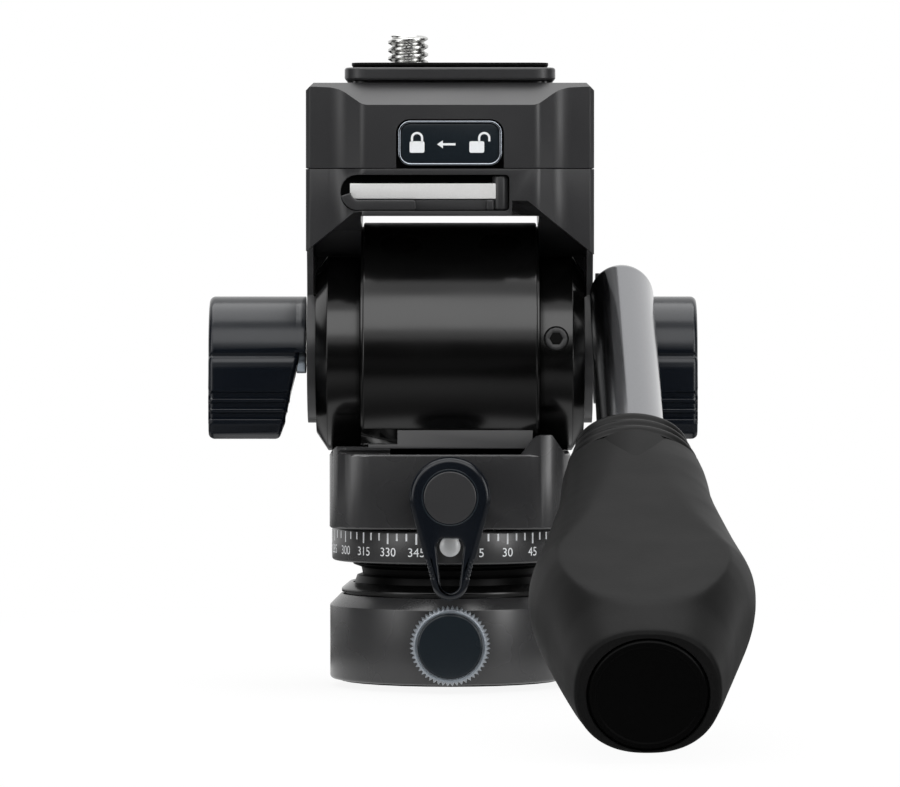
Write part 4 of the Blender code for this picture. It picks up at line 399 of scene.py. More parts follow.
def bevelled(piece, width):
    """Fine rounds on every edge, so that they catch the light."""
    step = piece.modifiers.new("rim", "BEVEL")
    step.width = width * MM
    step.segments = 3
    step.limit_method = "ANGLE"
    step.angle_limit = math.radians(CRISP_ANGLE)
    step.harden_normals = True
    return piece


class HeadSizes(bpy.types.PropertyGroup):
    """Sizes of the details that stand on the CAD model."""
    rim_round: FloatProperty(name="Rim round", description="Round on machined edges",
                             default=0.22 * MM, min=0.05 * MM, max=0.6 * MM, precision=5, unit="LENGTH")
    knurl_teeth: IntProperty(name="Knurl teeth", description="Teeth round the levelling knob",
                             default=52, min=24, max=120)
    thread_pitch: FloatProperty(name="Thread pitch", description="Pitch of the camera screw",
                                default=1.27 * MM, min=0.5 * MM, max=2 * MM, precision=5, unit="LENGTH")
    collar_ridges: IntProperty(name="Collar ridges", description="Ridges on the grip's collar",
                               default=3, min=1, max=6)
    tick_height: FloatProperty(name="Tick height", description="Length of a short degree mark",
                               default=1.15 * MM, min=0.4 * MM, max=2 * MM, precision=5, unit="LENGTH")


class StudioSettings(bpy.types.PropertyGroup):
    """Lamps and backdrop."""
    side_power: FloatProperty(name="Side lamps", description="Power of each side lamp, in watts",
                              default=1.5, min=0, subtype="POWER")
    top_power: FloatProperty(name="Top lamp", description="Power of the top lamp, in watts",
                             default=4.5, min=0, subtype="POWER")
    front_power: FloatProperty(name="Front lamp", description="Power of the lamp over the camera",
                               default=2.6, min=0, subtype="POWER")
    soft_light: FloatProperty(name="Soft light", description="Strength of the light from all sides",
                              default=0.35, min=0)
    floor_colour: FloatVectorProperty(name="Floor", description="Colour of the floor and backdrop",
                                      subtype="COLOR", default=(0.86, 0.86, 0.86), min=0, max=1)
    floor_white: FloatProperty(name="Floor white", description="White share of the floor at the head's foot",
                               default=0.9, min=0, max=1, subtype="FACTOR")
    floor_glow: FloatProperty(name="Floor glow", description="Strength of the white that the camera sees",
                              default=1.0, min=0, max=1)


def settings():
    """The sizes that a user may change."""
    return bpy.context.scene.head_sizes


def ball_arc(radius, low, high, steps=16):
    """Profile points on the ball's sphere between two heights."""
    t = np.linspace(*(math.asin((h - BALL_HEIGHT) / radius) for h in (low, high)), steps)
    return np.column_stack((radius * np.cos(t), BALL_HEIGHT + radius * np.sin(t)))


def levelling_base():
    """Base, collar and ball neck, all turned."""
    shell = rounded([(16.8, 13.2), (16.8, 13.7), (17.2, 13.7), (18.95, 11.95), (18.95, 0.3),
                     (17.65, 0.3), (17.65, 1.3), (9.45, 1.3), (9.45, 0.3), (6.31, 0.3), (6.31, 7.9),
                     (7.41, 7.9), (7.41, 3.0), (14.77, 3.0)],
                    [0, 0.1, 0.12, 0.18, 0.55, 0.1, 0.1, 0.1, 0.1, 0.1, 0.1, 0.1, 0.1, 0])
    seat = ball_arc(16.8, 3.0, 13.2)[1:]
    keep(turned("base_shell", np.vstack((shell, seat)), closed=True), "base", "anodised_turned",
         "base_housing")
    rim = rounded([(15.45, 15.4), (15.75, 15.65), (17.1, 14.55), (17.1, 14.0), (16.55, 14.0),
                   (16.55, 12.1), (15.96, 12.1)], [0, 0.12, 0.12, 0.08, 0.05, 0.1, 0])
    keep(turned("collar_shell", np.vstack((rim, ball_arc(16.0, 12.1, 15.4)[1:])), closed=True),
         "base", "anodised_gloss", "ball_collar")
    neck = rounded([(4.2, 12.2), (4.2, 22.4), (13.6, 22.4), (13.6, 18.7), (16.3, 18.7), (14.0, 17.9),
                    (13.8, 16.9)], [0, 0.1, 0.2, 0.1, 0.25, 0.2, 0])
    ball = ball_arc(15.7, 5.0, 16.6)[::-1]
    foot = np.array([(9.2, 5.0), (9.2, 12.0)])
    keep(turned("ball_skin", np.vstack((neck, ball, foot)), closed=True), "level", "moulded_black",
         "levelling_ball")


def knurled_knob():
    """Knob: the radius falls by a triangle wave round the turn; the rim chamfer cuts the teeth off."""
    teeth = settings().knurl_teeth
    place = facing_front(KNOB_HEIGHT)
    u = full_turn(teeth * 8)
    tooth = np.abs((u * teeth / (2 * math.pi)) % 1 * 2 - 1)
    profile = np.array([(0, 16.55), (2.0, 16.55), (2.0, 19.25), (5.4, 19.25), (5.75, 19.5), (6.25, 19.75),
                        (6.25, 21.35), (5.95, 21.75), (5.68, 22.02), (5.5, 22.2), (5.3, 22.25), (5.25, 22.2),
                        (5.25, 21.8), (0, 21.8)])
    wave = np.array([0, 0, 0, 0.3, 0.8, 1, 1, 0.47, 0, 0, 0, 0, 0, 0])[:, None]
    tooth_depth = 0.57
    grid = around(profile[:, :1] - tooth_depth * wave * tooth, u, profile[:, 1:])
    keep(surface("knob_skin", grid, place, caps=False, angle=50), "knob", "knurl_grey",
         "levelling_knob")
    rim = turned("knob_rim", rounded([(5.52, 22.1), (5.45, 22.3), (5.27, 22.3), (5.27, 21.9)],
                                     [0, 0.1, 0.05, 0], 3), place)
    keep(rim, "knob", "dull_cut")
    face = turned("knob_face", rounded([(0, 22.25), (4.75, 22.25), (5.05, 22.1), (5.05, 21.8)],
                                       [0, 0.2, 0.1, 0], 3), place)
    keep(face, "knob", "gloss_blue_black", "levelling_knob_face")


def scale_ring():
    """Scale ring with its printed marks, and the stud."""
    rim = rounded([(13.9, 19.5), (13.9, 24.3), (18.65, 24.3), (18.65, 19.0), (13.9, 19.0),
                   (13.9, 19.5)], [0, 0.1, 0.5, 0.5, 0.1, 0])
    keep(turned("scale_skin", rim, closed=True), "level", "anodised_turned", "scale_ring")
    place = facing_front(STUD_HEIGHT)
    t = np.linspace(0, math.pi / 2, 12)
    dome = np.column_stack((1.62 * np.sin(t), 18.75 + 0.75 * np.cos(t)))
    keep(turned("stud_dome", np.vstack((dome, [(0.8, 18.7), (0.8, 16.6), (0, 16.6)])), place, 64),
         "level", "pale_stud", "zero_stud")

    marks = []
    tall = settings().tick_height / MM
    high = 23.85
    for degrees in range(5, 360, 5):
        low = high - tall * (1.0 if degrees % 15 else 1.45)
        marks.append(bent_patch(math.radians(degrees + SCALE_TURN), 0.30, low, high))
    for degrees in (-4.7, 0.6):
        marks.append(bent_patch(math.radians(degrees), 0.2, 23.75, 24.0))
    keep(joined("scale_marks", marks), "level", "white_ink")
    for degrees in range(15, 360, 15):
        number = bent_text(f"scale_number_{degrees}", str(degrees), math.radians(degrees + SCALE_TURN),
                           20.85, 1.95)
        keep(number, "level", "white_ink")


def on_ring(angle, across, height, radius):
    """A point on the ring: across millimetres round from an angle, zero at the front, right-handed."""
    turn = angle + across / RING_RADIUS
    return radius * np.sin(turn), -radius * np.cos(turn), height


def bent_patch(angle, width, low, high):
    """A printed mark: a small patch that follows the ring's curve, a hair proud of it."""
    s, h = np.meshgrid(np.linspace(-width / 2, width / 2, 4), (low, high))
    return np.stack(on_ring(angle, s, h, RING_RADIUS + 0.03), -1)


def joined(name, patches):
    """Many patches of one grid size as one mesh."""
    grid = np.stack(patches)
    count, rows, columns = grid.shape[:3]
    base = (np.arange(count) * rows * columns)[:, None, None]
    i = np.arange(rows - 1)[None, :, None]
    j = np.arange(columns - 1)[None, None, :]
    first = base + i * columns + j
    quads = np.stack((first, first + 1, first + columns + 1, first + columns), -1).reshape(-1, 4)
    mesh = bpy.data.meshes.new(name)
    mesh.from_pydata((grid.reshape(-1, 3) * MM).tolist(), [], quads.tolist())
    return link(name, mesh)


def flat_text(name, text, size):
    """Lettering as a flat mesh centred on its own box, in mm."""
    curve = bpy.data.curves.new(name, "FONT")
    curve.body = text
    curve.size = size
    curve.align_x = "CENTER"
    curve.align_y = "CENTER"
    curve.resolution_u = 4
    holder = new_object(name, curve)
    bpy.context.view_layer.update()
    mesh = bpy.data.meshes.new_from_object(holder.evaluated_get(bpy.context.evaluated_depsgraph_get()))
    bpy.data.objects.remove(holder)
    return mesh


def bent_text(name, text, angle, height, size):
    """A scale number bent round the ring."""
    mesh = flat_text(name, text, size)
    points = np.zeros(len(mesh.vertices) * 3)
    mesh.vertices.foreach_get("co", points)
    points = points.reshape(-1, 3)
    x, y, z = on_ring(angle, points[:, 0], height + points[:, 1], RING_RADIUS + 0.04)
    mesh.vertices.foreach_set("co", (np.column_stack((x, y, z)) * MM).ravel())
    mesh.update()
    return link(name, mesh)


def lever_points():
    """The pan lever's outline with fine teeth where its tip is gripped, anticlockwise."""
    hub, tip, length = 6.3, 2.85, 13.1
    lean = math.degrees(math.asin((hub - tip) / length))
    top = arc((0, 0), hub, -lean, 180 + lean, 64)
    foot = arc((0, -length), tip, 180 + lean, 360 - lean, 32)
    out = []
    for start, end in ((top[-1], foot[0]), (foot[-1], top[0])):
        s = np.linspace(0, 1, 90)[1:-1]
        line = start + (end - start) * s[:, None]
        along = (end - start) / np.linalg.norm(end - start)
        normal = np.array((along[1], -along[0]))
        drop = -line[:, 1]
        zone = (drop > 9.8) & (drop < 12.6)
        wave = 0.16 * np.abs((drop / 0.62) % 1 * 2 - 1) * zone
        out.append(line - normal * wave[:, None])
    return np.vstack((top, out[0], foot, out[1]))


def stepped(line, count, endpoint=True):
    """Points at even steps along a polyline."""
    run = np.r_[0, np.cumsum(np.linalg.norm(np.diff(line, axis=0), axis=1))]
    at = np.linspace(0, run[-1], count, endpoint=endpoint)
    return np.column_stack((np.interp(at, run, line[:, 0]), np.interp(at, run, line[:, 1])))


def eased(values, size, **padding):
    """A running mean over a row of numbers, weighted towards its middle, with padded ends."""
    kernel = np.hanning(size) / np.hanning(size).sum()
    return np.convolve(np.pad(values, size // 2, **padding), kernel, "valid")


def resampled(outline, count, start):
    """The same number of points at even steps round a closed outline, from the one nearest start."""
    first = np.argmin(((outline - start) ** 2).sum(1))
    return stepped(np.vstack((np.roll(outline, -first, 0), outline[first])), count, endpoint=False)


def windowed(name, outer, inner, low, high, edge, place, steps=4, inner_edge=None):
    """A plate with one window: a section carried round both outlines at once, rims rolled over."""
    inset, rise = rolled(edge, steps)
    small = (inner_edge or edge) / edge
    rows = [(outer, i, low + h) for i, h in zip(inset[::-1], rise[::-1])]
    rows += [(outer, i, high - h) for i, h in zip(inset, rise)]
    rows += [(inner, -i * small, high - h * small) for i, h in zip(inset[::-1], rise[::-1])]
    rows += [(inner, -i * small, low + h * small) for i, h in zip(inset, rise)]
    rows.append(rows[0])
    return surface(name, rings(rows), place, caps=False)


def pan_lever():
    """The slotted pan-lock lever: outline and slot carried together, with its hub disc."""
    place = facing_front(PAN_LEVER_HEIGHT)
    slot = np.vstack((arc((0, -13.3), 1.5, 180, 360, 16), rounded([(1.5, -13.3), (2.15, -7.4),
                     (1.5, -6.3), (-1.5, -6.3), (-2.15, -7.4), (-1.5, -13.3)], 0.8, 6)[1:-1]))
    outer = resampled(lever_points(), 360, np.array((6.3, 0)))
    inner = resampled(slot, 360, np.array((2.1, -7.4)))
    keep(windowed("lever_plate", outer, inner, 22.7, 25.2, 0.9, place, 6, 0.35), "pan_lever",
         "lever_blue", "pan_lock_lever")
    boss = turned("lever_boss", rounded([(0, 22.9), (5.3, 22.9), (5.3, 19.2), (2.0, 19.2), (2.0, 9.0),
                                         (0, 9.0)], [0, 0.1, 0.3, 0.1, 0.2, 0]), place)
    keep(boss, "pan_lever", "gloss_blue_black")
    rim = turned("lever_hub_rim", rounded([(4.2, 24.7), (4.2, 25.25), (4.35, 25.28), (4.5, 25.1)],
                                          [0, 0.05, 0.05, 0], 4), place)
    keep(rim, "pan_lever", "gloss_blue_black")
    cap = turned("lever_cap", rounded([(0, 25.28), (3.9, 25.28), (4.12, 25.15), (4.12, 24.6), (0, 24.6)],
                                      [0, 0.2, 0.1, 0.05, 0]), place)
    keep(cap, "pan_lever", "anodised_black", "pan_lock_cap")


def tilt_barrel():
    """Barrel and hub rings about the tilt axis."""
    place = tilt_axis()
    start = math.degrees(math.asin((34.1 - TILT_HEIGHT) / BARREL_RADIUS))
    outline = arc((0, 0), BARREL_RADIUS, start, 180 - start, 180)
    t = np.linspace(0, math.pi / 2, 6)
    rim = [(0.6, 13.87), (0.6, 13.6), *zip(0.32 * (1 - np.cos(t[::-1])), 13.28 + 0.32 * np.sin(t[::-1]))]
    rows = [(outline, inset, -x) for inset, x in rim] + [(outline, inset, x) for inset, x in rim[::-1]]
    barrel = surface("barrel_skin", rings(rows), place)
    cut(barrel, box("barrel_notch", (-15, -22, 37.8), (-7.5, -14.3, 40.1)))
    keep(barrel, "pan", "anodised_gloss", "tilt_barrel")
    foot = prism("barrel_foot", [(-12.7, 37.1), (12.9, 37.1), (12.9, 40.0), (-8.2, 40.0), (-8.2, 37.8),
                                 (-12.7, 37.8)], 15.2, 17.0, 0.12, TOWARDS_FRONT)
    lean = Matrix(((1, 0, 0, 0), (0, 1, 0.2, -0.2 * 40 * MM), (0, 0, 1, 0), (0, 0, 0, 1)))
    foot.data.transform(lean)
    keep(foot, "pan", "anodised_black")
    for side, name in ((-1, "left"), (1, "right")):
        ring = rounded([(4.3, side * 14.5), (4.3, side * 21.05), (12.6, side * 21.05),
                        (15.35, side * 19.2), (15.35, side * 13.9), (4.3, side * 13.9),
                        (4.3, side * 14.5)], [0, 0.1, 0.2, 0.25, 0.25, 0.1, 0])
        hub = turned(f"hub_skin_{name}", ring, place, closed=True)
        if side > 0:
            spot = Matrix.Translation((16.55 * MM, 0, TILT_HEIGHT * MM))
            spot = spot @ Matrix.Rotation(math.radians(80.4), 4, "X")
            hexagon = resampled(arc((0, 0), 1.05, 0, 360, 6)[:-1], 120, np.array((1.05, 0)))
            round_rim = arc((0, 0), 1.74, 0, 360, 120)[:-1]
            screw = windowed("set_screw_skin", round_rim, hexagon, 13.8, 15.44, 0.08, spot, 3)
            keep(screw, "tilt", "anodised_black", "ring_set_screw")
            # A near-black ring in the gap round the screw and a near-black disc at the bottom of its hex
            # socket: painted shade for the gap and the depth of the socket
            shade_ring = [(1.74, 15.0), (1.98, 15.0), (1.98, 15.37), (1.74, 15.37)]
            keep(turned("set_screw_gap_shade", shade_ring, spot, 96, closed=True), "tilt", "moulded_black")
            keep(turned("set_screw_socket_shade", [(0, 14.9), (1.2, 14.9), (1.2, 15.38), (0, 15.38)], spot, 48),
                 "tilt", "moulded_black")
        keep(hub, "tilt", "anodised_gloss", f"hub_ring_{name}")


def corner_fills():
    """Material in the corner between arm and ring chamfer: a section carried round the back."""
    place = tilt_axis()
    for side, name in ((-1, "left"), (1, "right")):
        turn = np.radians(np.linspace(90, 270, 60))[:31, None]
        section = np.array([(12.75, 21.12), (15.42, 21.12), (15.42, 19.25)])
        r, x = section[:, 0][None, :], side * section[:, 1][None, :]
        grid = np.stack((np.abs(r * np.cos(turn)), r * np.sin(turn), x + 0 * turn), -1)
        keep(surface(f"corner_fill_{name}", grid, place), "tilt", "anodised_black")


def block_outline():
    """The plan of yoke and clamp: a proud flat front whose corners sweep back to the sides."""
    quarter = rounded([(0, 21), (13.5, 21), (17.3, 17.6), (21.75, 17.35), (22.4, 16.7), (22.4, 0)],
                      [0, 2.2, 5.0, 0.25, 0.25, 0], 8)[:-1]
    right = np.vstack((quarter[1:], (quarter[1:] * (1, -1))[::-1]))
    return np.vstack((right, right * (-1, -1)))


def yoke_and_clamp():
    """Housing, yoke, clamp and the small machined pieces: forms with finely rounded edges."""
    width = settings().rim_round / MM
    keep(refined("handle_lug_skin", "handle_lug", width), "handle", "anodised_black", "handle_lug")
    housing = refined("pan_housing_skin", "pan_housing")
    plan = rounded_box(37.63, 37.63, 6.51, steps=16)
    cut(housing, prism("housing_plan", plan, 20, 60, TUCK, steps=1), "INTERSECT")
    cut(housing, box("stop_recess", (-17.4, -19.5, 36.2), (-8.9, -17.5, 38.0)))
    keep(bevelled(housing, width), "pan", "anodised_turned", "pan_housing")
    yoke = refined("tilt_yoke_skin", "tilt_yoke", front=21.6)
    cut(yoke, prism("yoke_plan", block_outline(), 30, 90, TUCK, steps=1), "INTERSECT")
    keep(bevelled(yoke, width), "tilt", "anodised_black", "tilt_yoke")
    keep(clamp_skin(width), "tilt", "anodised_black", "clamp_body")
    corner_fills()


def clamp_skin(width):
    """The clamp: the same plan, sloped front and back, chamfered sides and the button window."""
    clamp = prism("clamp_skin", block_outline(), 80.65, 93.95, 0.15)
    for side in (-1, 1):
        slope = [(side * 14.09, 95.95), (side * 23.51, 88.45), (side * 23.51, 95.95)]
        cut(clamp, prism("slope", slope, -30, 30, TUCK, TOWARDS_X, 1))
        edge = [(side * 20.2, 94.95), (side * 24.4, 90.75), (side * 24.4, 94.95)]
        cut(clamp, prism("side_chamfer", edge, -30, 30, TUCK, TOWARDS_FRONT, 1))
    window = np.vstack(([(-8.35, 78), (8.35, 78)], arc((6.15, 86.05), 2.2, 0, 90, 8),
                        arc((-6.15, 86.05), 2.2, 90, 180, 8)))
    cut(clamp, prism("window", window, 14, 24, TUCK, TOWARDS_FRONT, 1))
    return bevelled(clamp, width)


def lock_button():
    """Button face inside its bright rim, with the two padlocks and the arrow printed on it."""
    place = facing_front(BUTTON_HEIGHT)
    outer = resampled(rounded_box(16.1, 7.0, 1.9), 240, np.array((8.05, 0)))
    inner = resampled(rounded_box(15.3, 6.2, 1.55), 240, np.array((7.65, 0)))
    keep(windowed("button_rim", outer, inner, 18.3, 20.85, 0.16, place), "button", "bright_cut",
         "lock_button")
    face = prism("button_face", rounded_box(15.22, 6.12, 1.52), 18.2, 20.55, 0.25, place)
    keep(face, "button", "gloss_blue_black")
    icons = [padlock(-5.1, False), padlock(4.15, True), arrow()]
    for name, shapes in zip(("icon_locked", "icon_open", "icon_arrow"), icons):
        for count, shape in enumerate(shapes):
            keep(prism(f"{name}_{count}", shape, 20.5, 20.58, TUCK, place, 1), "button", "white_ink")


def padlock(x, opened):
    """A generic padlock: a block, and a shackle drawn as a hoop with two legs."""
    block = rounded_box(2.3, 1.78, 0.25, (x, -0.62), 3)
    shift = 1.15 if opened else 0.0
    centre = x + shift
    outer = arc((centre, 0.76), 0.95, 0, 180, 18)
    inner = arc((centre, 0.76), 0.62, 180, 0, 18)
    right = 0.25 if opened else 0.15
    hoop = np.vstack((outer, [(centre - 0.95, 0.15), (centre - 0.62, 0.15)], inner,
                      [(centre + 0.62, right), (centre + 0.95, right)]))
    return [block, hoop]


def arrow():
    """An arrow that points left."""
    return [np.array([(-2.0, -0.2), (-1.1, 0.42), (-1.1, -0.03), (0.85, -0.03), (0.85, -0.37),
                      (-1.1, -0.37), (-1.1, -0.82)])]


def release_lever():
    """The bright bar in the yoke's pocket with its dark pivot tab."""
    place = facing_front(RELEASE_HEIGHT)
    bar = prism("release_bar", rounded_box(22.6, 2.4, 0.12, (-4.2, 0)), 18.15, 20.3, 0.12, place)
    keep(bar, "release", "bright_bar", "release_lever")
    pivot = Matrix.Translation((7.85 * MM, -19.2 * MM, 0))
    tab = rounded([(0, 74.2), (1.3, 74.2), (1.3, 79.5), (0, 79.5)], [0, 0.25, 0.25, 0])
    keep(turned("release_pivot_tab", tab, pivot, 64), "release", "anodised_black")
    pin = turned("release_pin_skin", [(0, 74.4), (0.7, 74.4), (0.7, 79.3), (0, 79.3)], pivot, 32)
    keep(pin, "tilt", "steel", "release_pin")
    curl = np.vstack((arc((-14.2, 76.85), 2.7, 190, 270, 16), rounded([(-14.2, 74.15), (-5.3, 74.15),
                      (-5.3, 75.75), (-13.4, 75.75)], [0, 0.3, 0.5, 0]),
                      arc((-14.0, 77.1), 1.4, 260, 190, 8)))
    # A near-black sheet at the back of the pocket is painted shade: it stands for the shade deep in the
    # pocket
    floor = np.vstack((arc((-14.2, 76.85), 2.72, 90, 270, 24), [(9.1, 74.13), (9.1, 79.57)]))
    floor = resampled(floor, 200, np.array((9.1, 74.13)))
    keep(prism("pocket_painted_shade", floor, 17.42, 17.6, 0.03, TOWARDS_FRONT, 1), "tilt", "moulded_black")
    keep(prism("pocket_curl", curl, 17.5, 20.75, 0.2, TOWARDS_FRONT), "tilt", "anodised_black")
    keep(prism("pocket_sill", rounded_box(12.2, 1.55, 0.1, (0.7, 74.95)), 17.5, 20.1, 0.1, TOWARDS_FRONT),
         "tilt", "anodised_black")
    keep(prism("pocket_stop", rounded_box(1.1, 1.6, 0.3, (6.2, 74.95)), 17.5, 20.6, 0.2, TOWARDS_FRONT),
         "tilt", "anodised_black")


def plate_and_screw():
    """Plate, pad and the camera screw, whose thread is a ridge that climbs one pitch a turn."""
    plate = refined("plate_skin", "quick_release_plate", 0.18)
    plate.data.transform(Matrix.Diagonal((1, 0.91, 1, 1)))
    keep(plate, "tilt", "anodised_black", "quick_release_plate")
    hole = arc((PLATE_HOLE_X, 0), 3.5, 0, 360, 240)[:-1]
    outer = resampled(rounded_box(30.6, 32.6, 2.5), 240, np.array((15.3, 0)))
    keep(windowed("pad_skin", outer, hole, 96.6, 97.1, 0.12, ALONG_Z, 3), "tilt", "rubber", "plate_pad")
    place = Matrix.Translation((PLATE_HOLE_X * MM, 0, 0))
    pitch = settings().thread_pitch / MM
    u = full_turn(96)
    foot, tip = 96.2, 101.7
    h = np.linspace(foot, tip, 120)[:, None]
    phase = np.abs(((h - foot) / pitch - u / (2 * math.pi)) % 1 * 2 - 1)
    ridge = np.clip(phase * 1.9 - 0.35, 0, 1)
    fade = np.clip((tip - h) / 0.5, 0, 1) ** 0.5
    r = (2.55 + 0.62 * ridge) * (0.86 + 0.14 * fade)
    head = np.array([(0, 91.7), (6.2, 91.7), (6.4, 91.9), (6.4, 93.5), (6.2, 93.65), (3.0, 93.65),
                     (3.0, 96.1)])
    grid = np.concatenate((around(head[:, :1], u, head[:, 1:]), around(r, u, h), around(0, u, tip)))
    keep(surface("camera_screw_skin", grid, place, caps=False, angle=40), "screw", "steel",
         "camera_screw")


def paddle_outline():
    """Side view of a lock lever: a round head, a step in front and a paddle with finger grooves."""
    head = arc((0, 0), LEVER_RADIUS, -40, 180, 90)
    shares = np.array([(-0.985, -0.005), (-1.03, -0.03), (-1.065, -0.08), (-1.08, -0.16), (-1.085, -0.4),
                       (-1.08, -0.6), (-1.07, -0.82), (-1.02, -0.93), (-0.88, -0.99), (-0.6, -1.0),
                       (-0.2, -0.985), (0.05, -0.92), (0.3, -0.78), (0.52, -0.60)])
    line = np.vstack((head[-1:], shares * (LEVER_RADIUS, LEVER_DROP), head[:1]))
    smooth = np.column_stack([eased(column, 25, mode="edge") for column in stepped(line, 720).T])
    front = smooth[:, 0] < -3
    # A shallow ledge where the head meets the paddle, and under it the finger grooves
    step = (smooth[:, 1] + 0.18) / 0.22
    smooth[:, 0] += front * 0.12 * np.clip(1 - np.abs(step), 0, 1)
    first, apart, half, deep = 6.4, 1.6, 0.64, 0.5
    for i in range(3):
        place = (smooth[:, 1] + first + apart * i) / half
        smooth[:, 0] += front * deep * np.clip(1.7 * (1 - np.abs(place)), 0, 1)
    return np.vstack((head[:-1], smooth[1:-1]))


def lock_levers():
    """The two grip levers: the side view carried along X, its inner end slanting in towards the toe."""
    place = tilt_axis()
    outline = paddle_outline()
    for side, inner, outer, body, name in ((-1, 23.65, 37.9, "tilt_lever", "tilt_lock_lever"),
                                           (1, 27.35, 38.85, "clamp_lever", "handle_clamp_lever")):
        edge, steps = 0.9, 6
        t = np.linspace(0, math.pi / 2, steps)
        inset = np.r_[edge * (1 - np.cos(t))[::-1], edge * (1 - np.cos(t))]
        slant = 2.9 * np.clip(-outline[:, 1] / LEVER_DROP, 0, 1)
        crisp = np.clip(1.1 * (outline[:, 1] < 0.5) + 0.1, 0, 1) if side < 0 else 1.0
        rows = []
        for k, amount in enumerate(inset):
            line = shrink(outline, amount)
            if k < steps:
                line = outline + (line - outline) * np.reshape(crisp, (-1, 1))
                x = inner + slant + edge * crisp * (1 - math.sin(t[steps - 1 - k]))
            else:
                x = np.full(len(line), outer - edge * (1 - math.sin(t[k - steps])))
            rows.append(np.column_stack((line, side * x)))
        keep(surface(name + "_skin", np.stack(rows), place), body, "lever_blue", name)
        turn = place @ Matrix.Rotation(0 if side > 0 else math.pi, 4, "X")
        cap = rounded([(0, outer - 0.02), (3.9, outer - 0.02), (4.3, outer + 0.02), (4.4, outer - 0.6),
                       (0, outer - 0.6)], [0, 0.2, 0.1, 0.05, 0])
        keep(turned(name + "_cap_skin", cap, turn), body, "lever_blue", name + "_cap")
        if side < 0:
            neck = rounded([(2.3, 22.7), (3.2, 22.7), (3.2, 24.2), (2.3, 24.2)], [0, 0.2, 0.1, 0])
            keep(turned("tilt_lever_neck", neck, turn), body, "dull_cut")
            half = np.vstack((arc((0, 0), LEVER_RADIUS, 2, 178, 90), arc((0, 0), 3.3, 178, 2, 40)))
            hub = prism("tilt_lever_hub", half, -24.2, -22.7, 0.05, place, 2)
            keep(hub, body, "lever_blue")


# The grip along the rod's line, in mm: place, half width, thumb side, belly, height of the thumb flat
GRIP_SECTIONS = np.array([
    (72.5, 9.90, 6.70, 7.50, 7.6), (76, 10.40, 7.10, 8.10, 7.6), (80, 10.72, 7.56, 8.63, 7.65),
    (85, 10.95, 7.98, 9.30, 7.82), (90, 11.53, 8.34, 9.95, 8.02), (95, 12.33, 8.75, 10.6, 8.26),
    (100, 13.15, 9.20, 11.2, 8.50), (105, 13.97, 9.73, 11.8, 8.72), (110, 14.86, 10.45, 12.2, 8.94),
    (114, 15.50, 11.30, 12.5, 9.13), (117.5, 15.85, 12.30, 12.7, 9.32), (121, 15.50, 13.15, 12.8, 9.46),
    (124, 14.96, 13.95, 12.85, 9.61), (128, 14.05, 14.20, 12.77, 9.82), (132, 13.15, 13.45, 12.55, 10.03),
    (136, 12.30, 12.10, 11.95, 10.24), (139, 11.70, 11.00, 11.25, 10.45), (142, 11.15, 10.35, 10.4, 10.66),
    (145, 10.50, 9.90, 9.50, 10.83), (148, 9.85, 9.40, 8.60, 11.0)])


def rod_place():
    """The handle's own frame: Z runs down the rod from its corner."""
    turn = Matrix.Rotation(math.pi / 2 + math.radians(HANDLE_DROOP), 4, "X")
    return Matrix.Translation([value * MM for value in HANDLE_CORNER]) @ turn


def grip_columns(count):
    """The grip's sections at even places, eased between the given ones."""
    s = np.linspace(GRIP_SECTIONS[0, 0], GRIP_SECTIONS[-1, 0], count)
    columns = [s[:, None]]
    for given in GRIP_SECTIONS.T[1:]:
        values = np.interp(s, GRIP_SECTIONS[:, 0], given)
        columns.append(eased(values, 7, mode="reflect", reflect_type="odd")[:, None])
    return columns


def grip_skin(place):
    """The rubber grip: a full belly, and a thumb side cut to a flat with a crisp edge."""
    s, wide, thumb, belly, flat = grip_columns(120)
    u = full_turn(240)
    x = np.sign(np.cos(u)) * np.abs(np.cos(u)) ** 0.85 * wide
    up = np.clip(np.sin(u), 0, None) ** 0.85 * thumb
    up = np.minimum(up, flat - np.log1p(np.exp(-60 * (up / flat - 1))) * flat / 60)
    up = np.maximum(up, 0)
    y = np.where(np.sin(u) > 0, up, np.sin(u) * belly)
    skin = np.stack((x, y, s + 0 * u), -1)
    first, last = skin[0], skin[-1]
    lip = last * (0.965, 0.965, 1)
    skin[-1] = last - (0, 0, 0.35)
    rows = [skin, lip[None]]
    for radius, height in ((8.45, 147.9), (8.33, 147.7), (8.33, 146.55), (7.65, 146.55), (7.65, 72.5)):
        rows.append(around(radius, u, height))
    rows += [(first * (0.985, 0.985, 1))[None], skin[:1]]
    keep(surface("grip_skin", np.concatenate(rows), place, caps=False, angle=26), "handle", "rubber",
         "grip_sleeve")


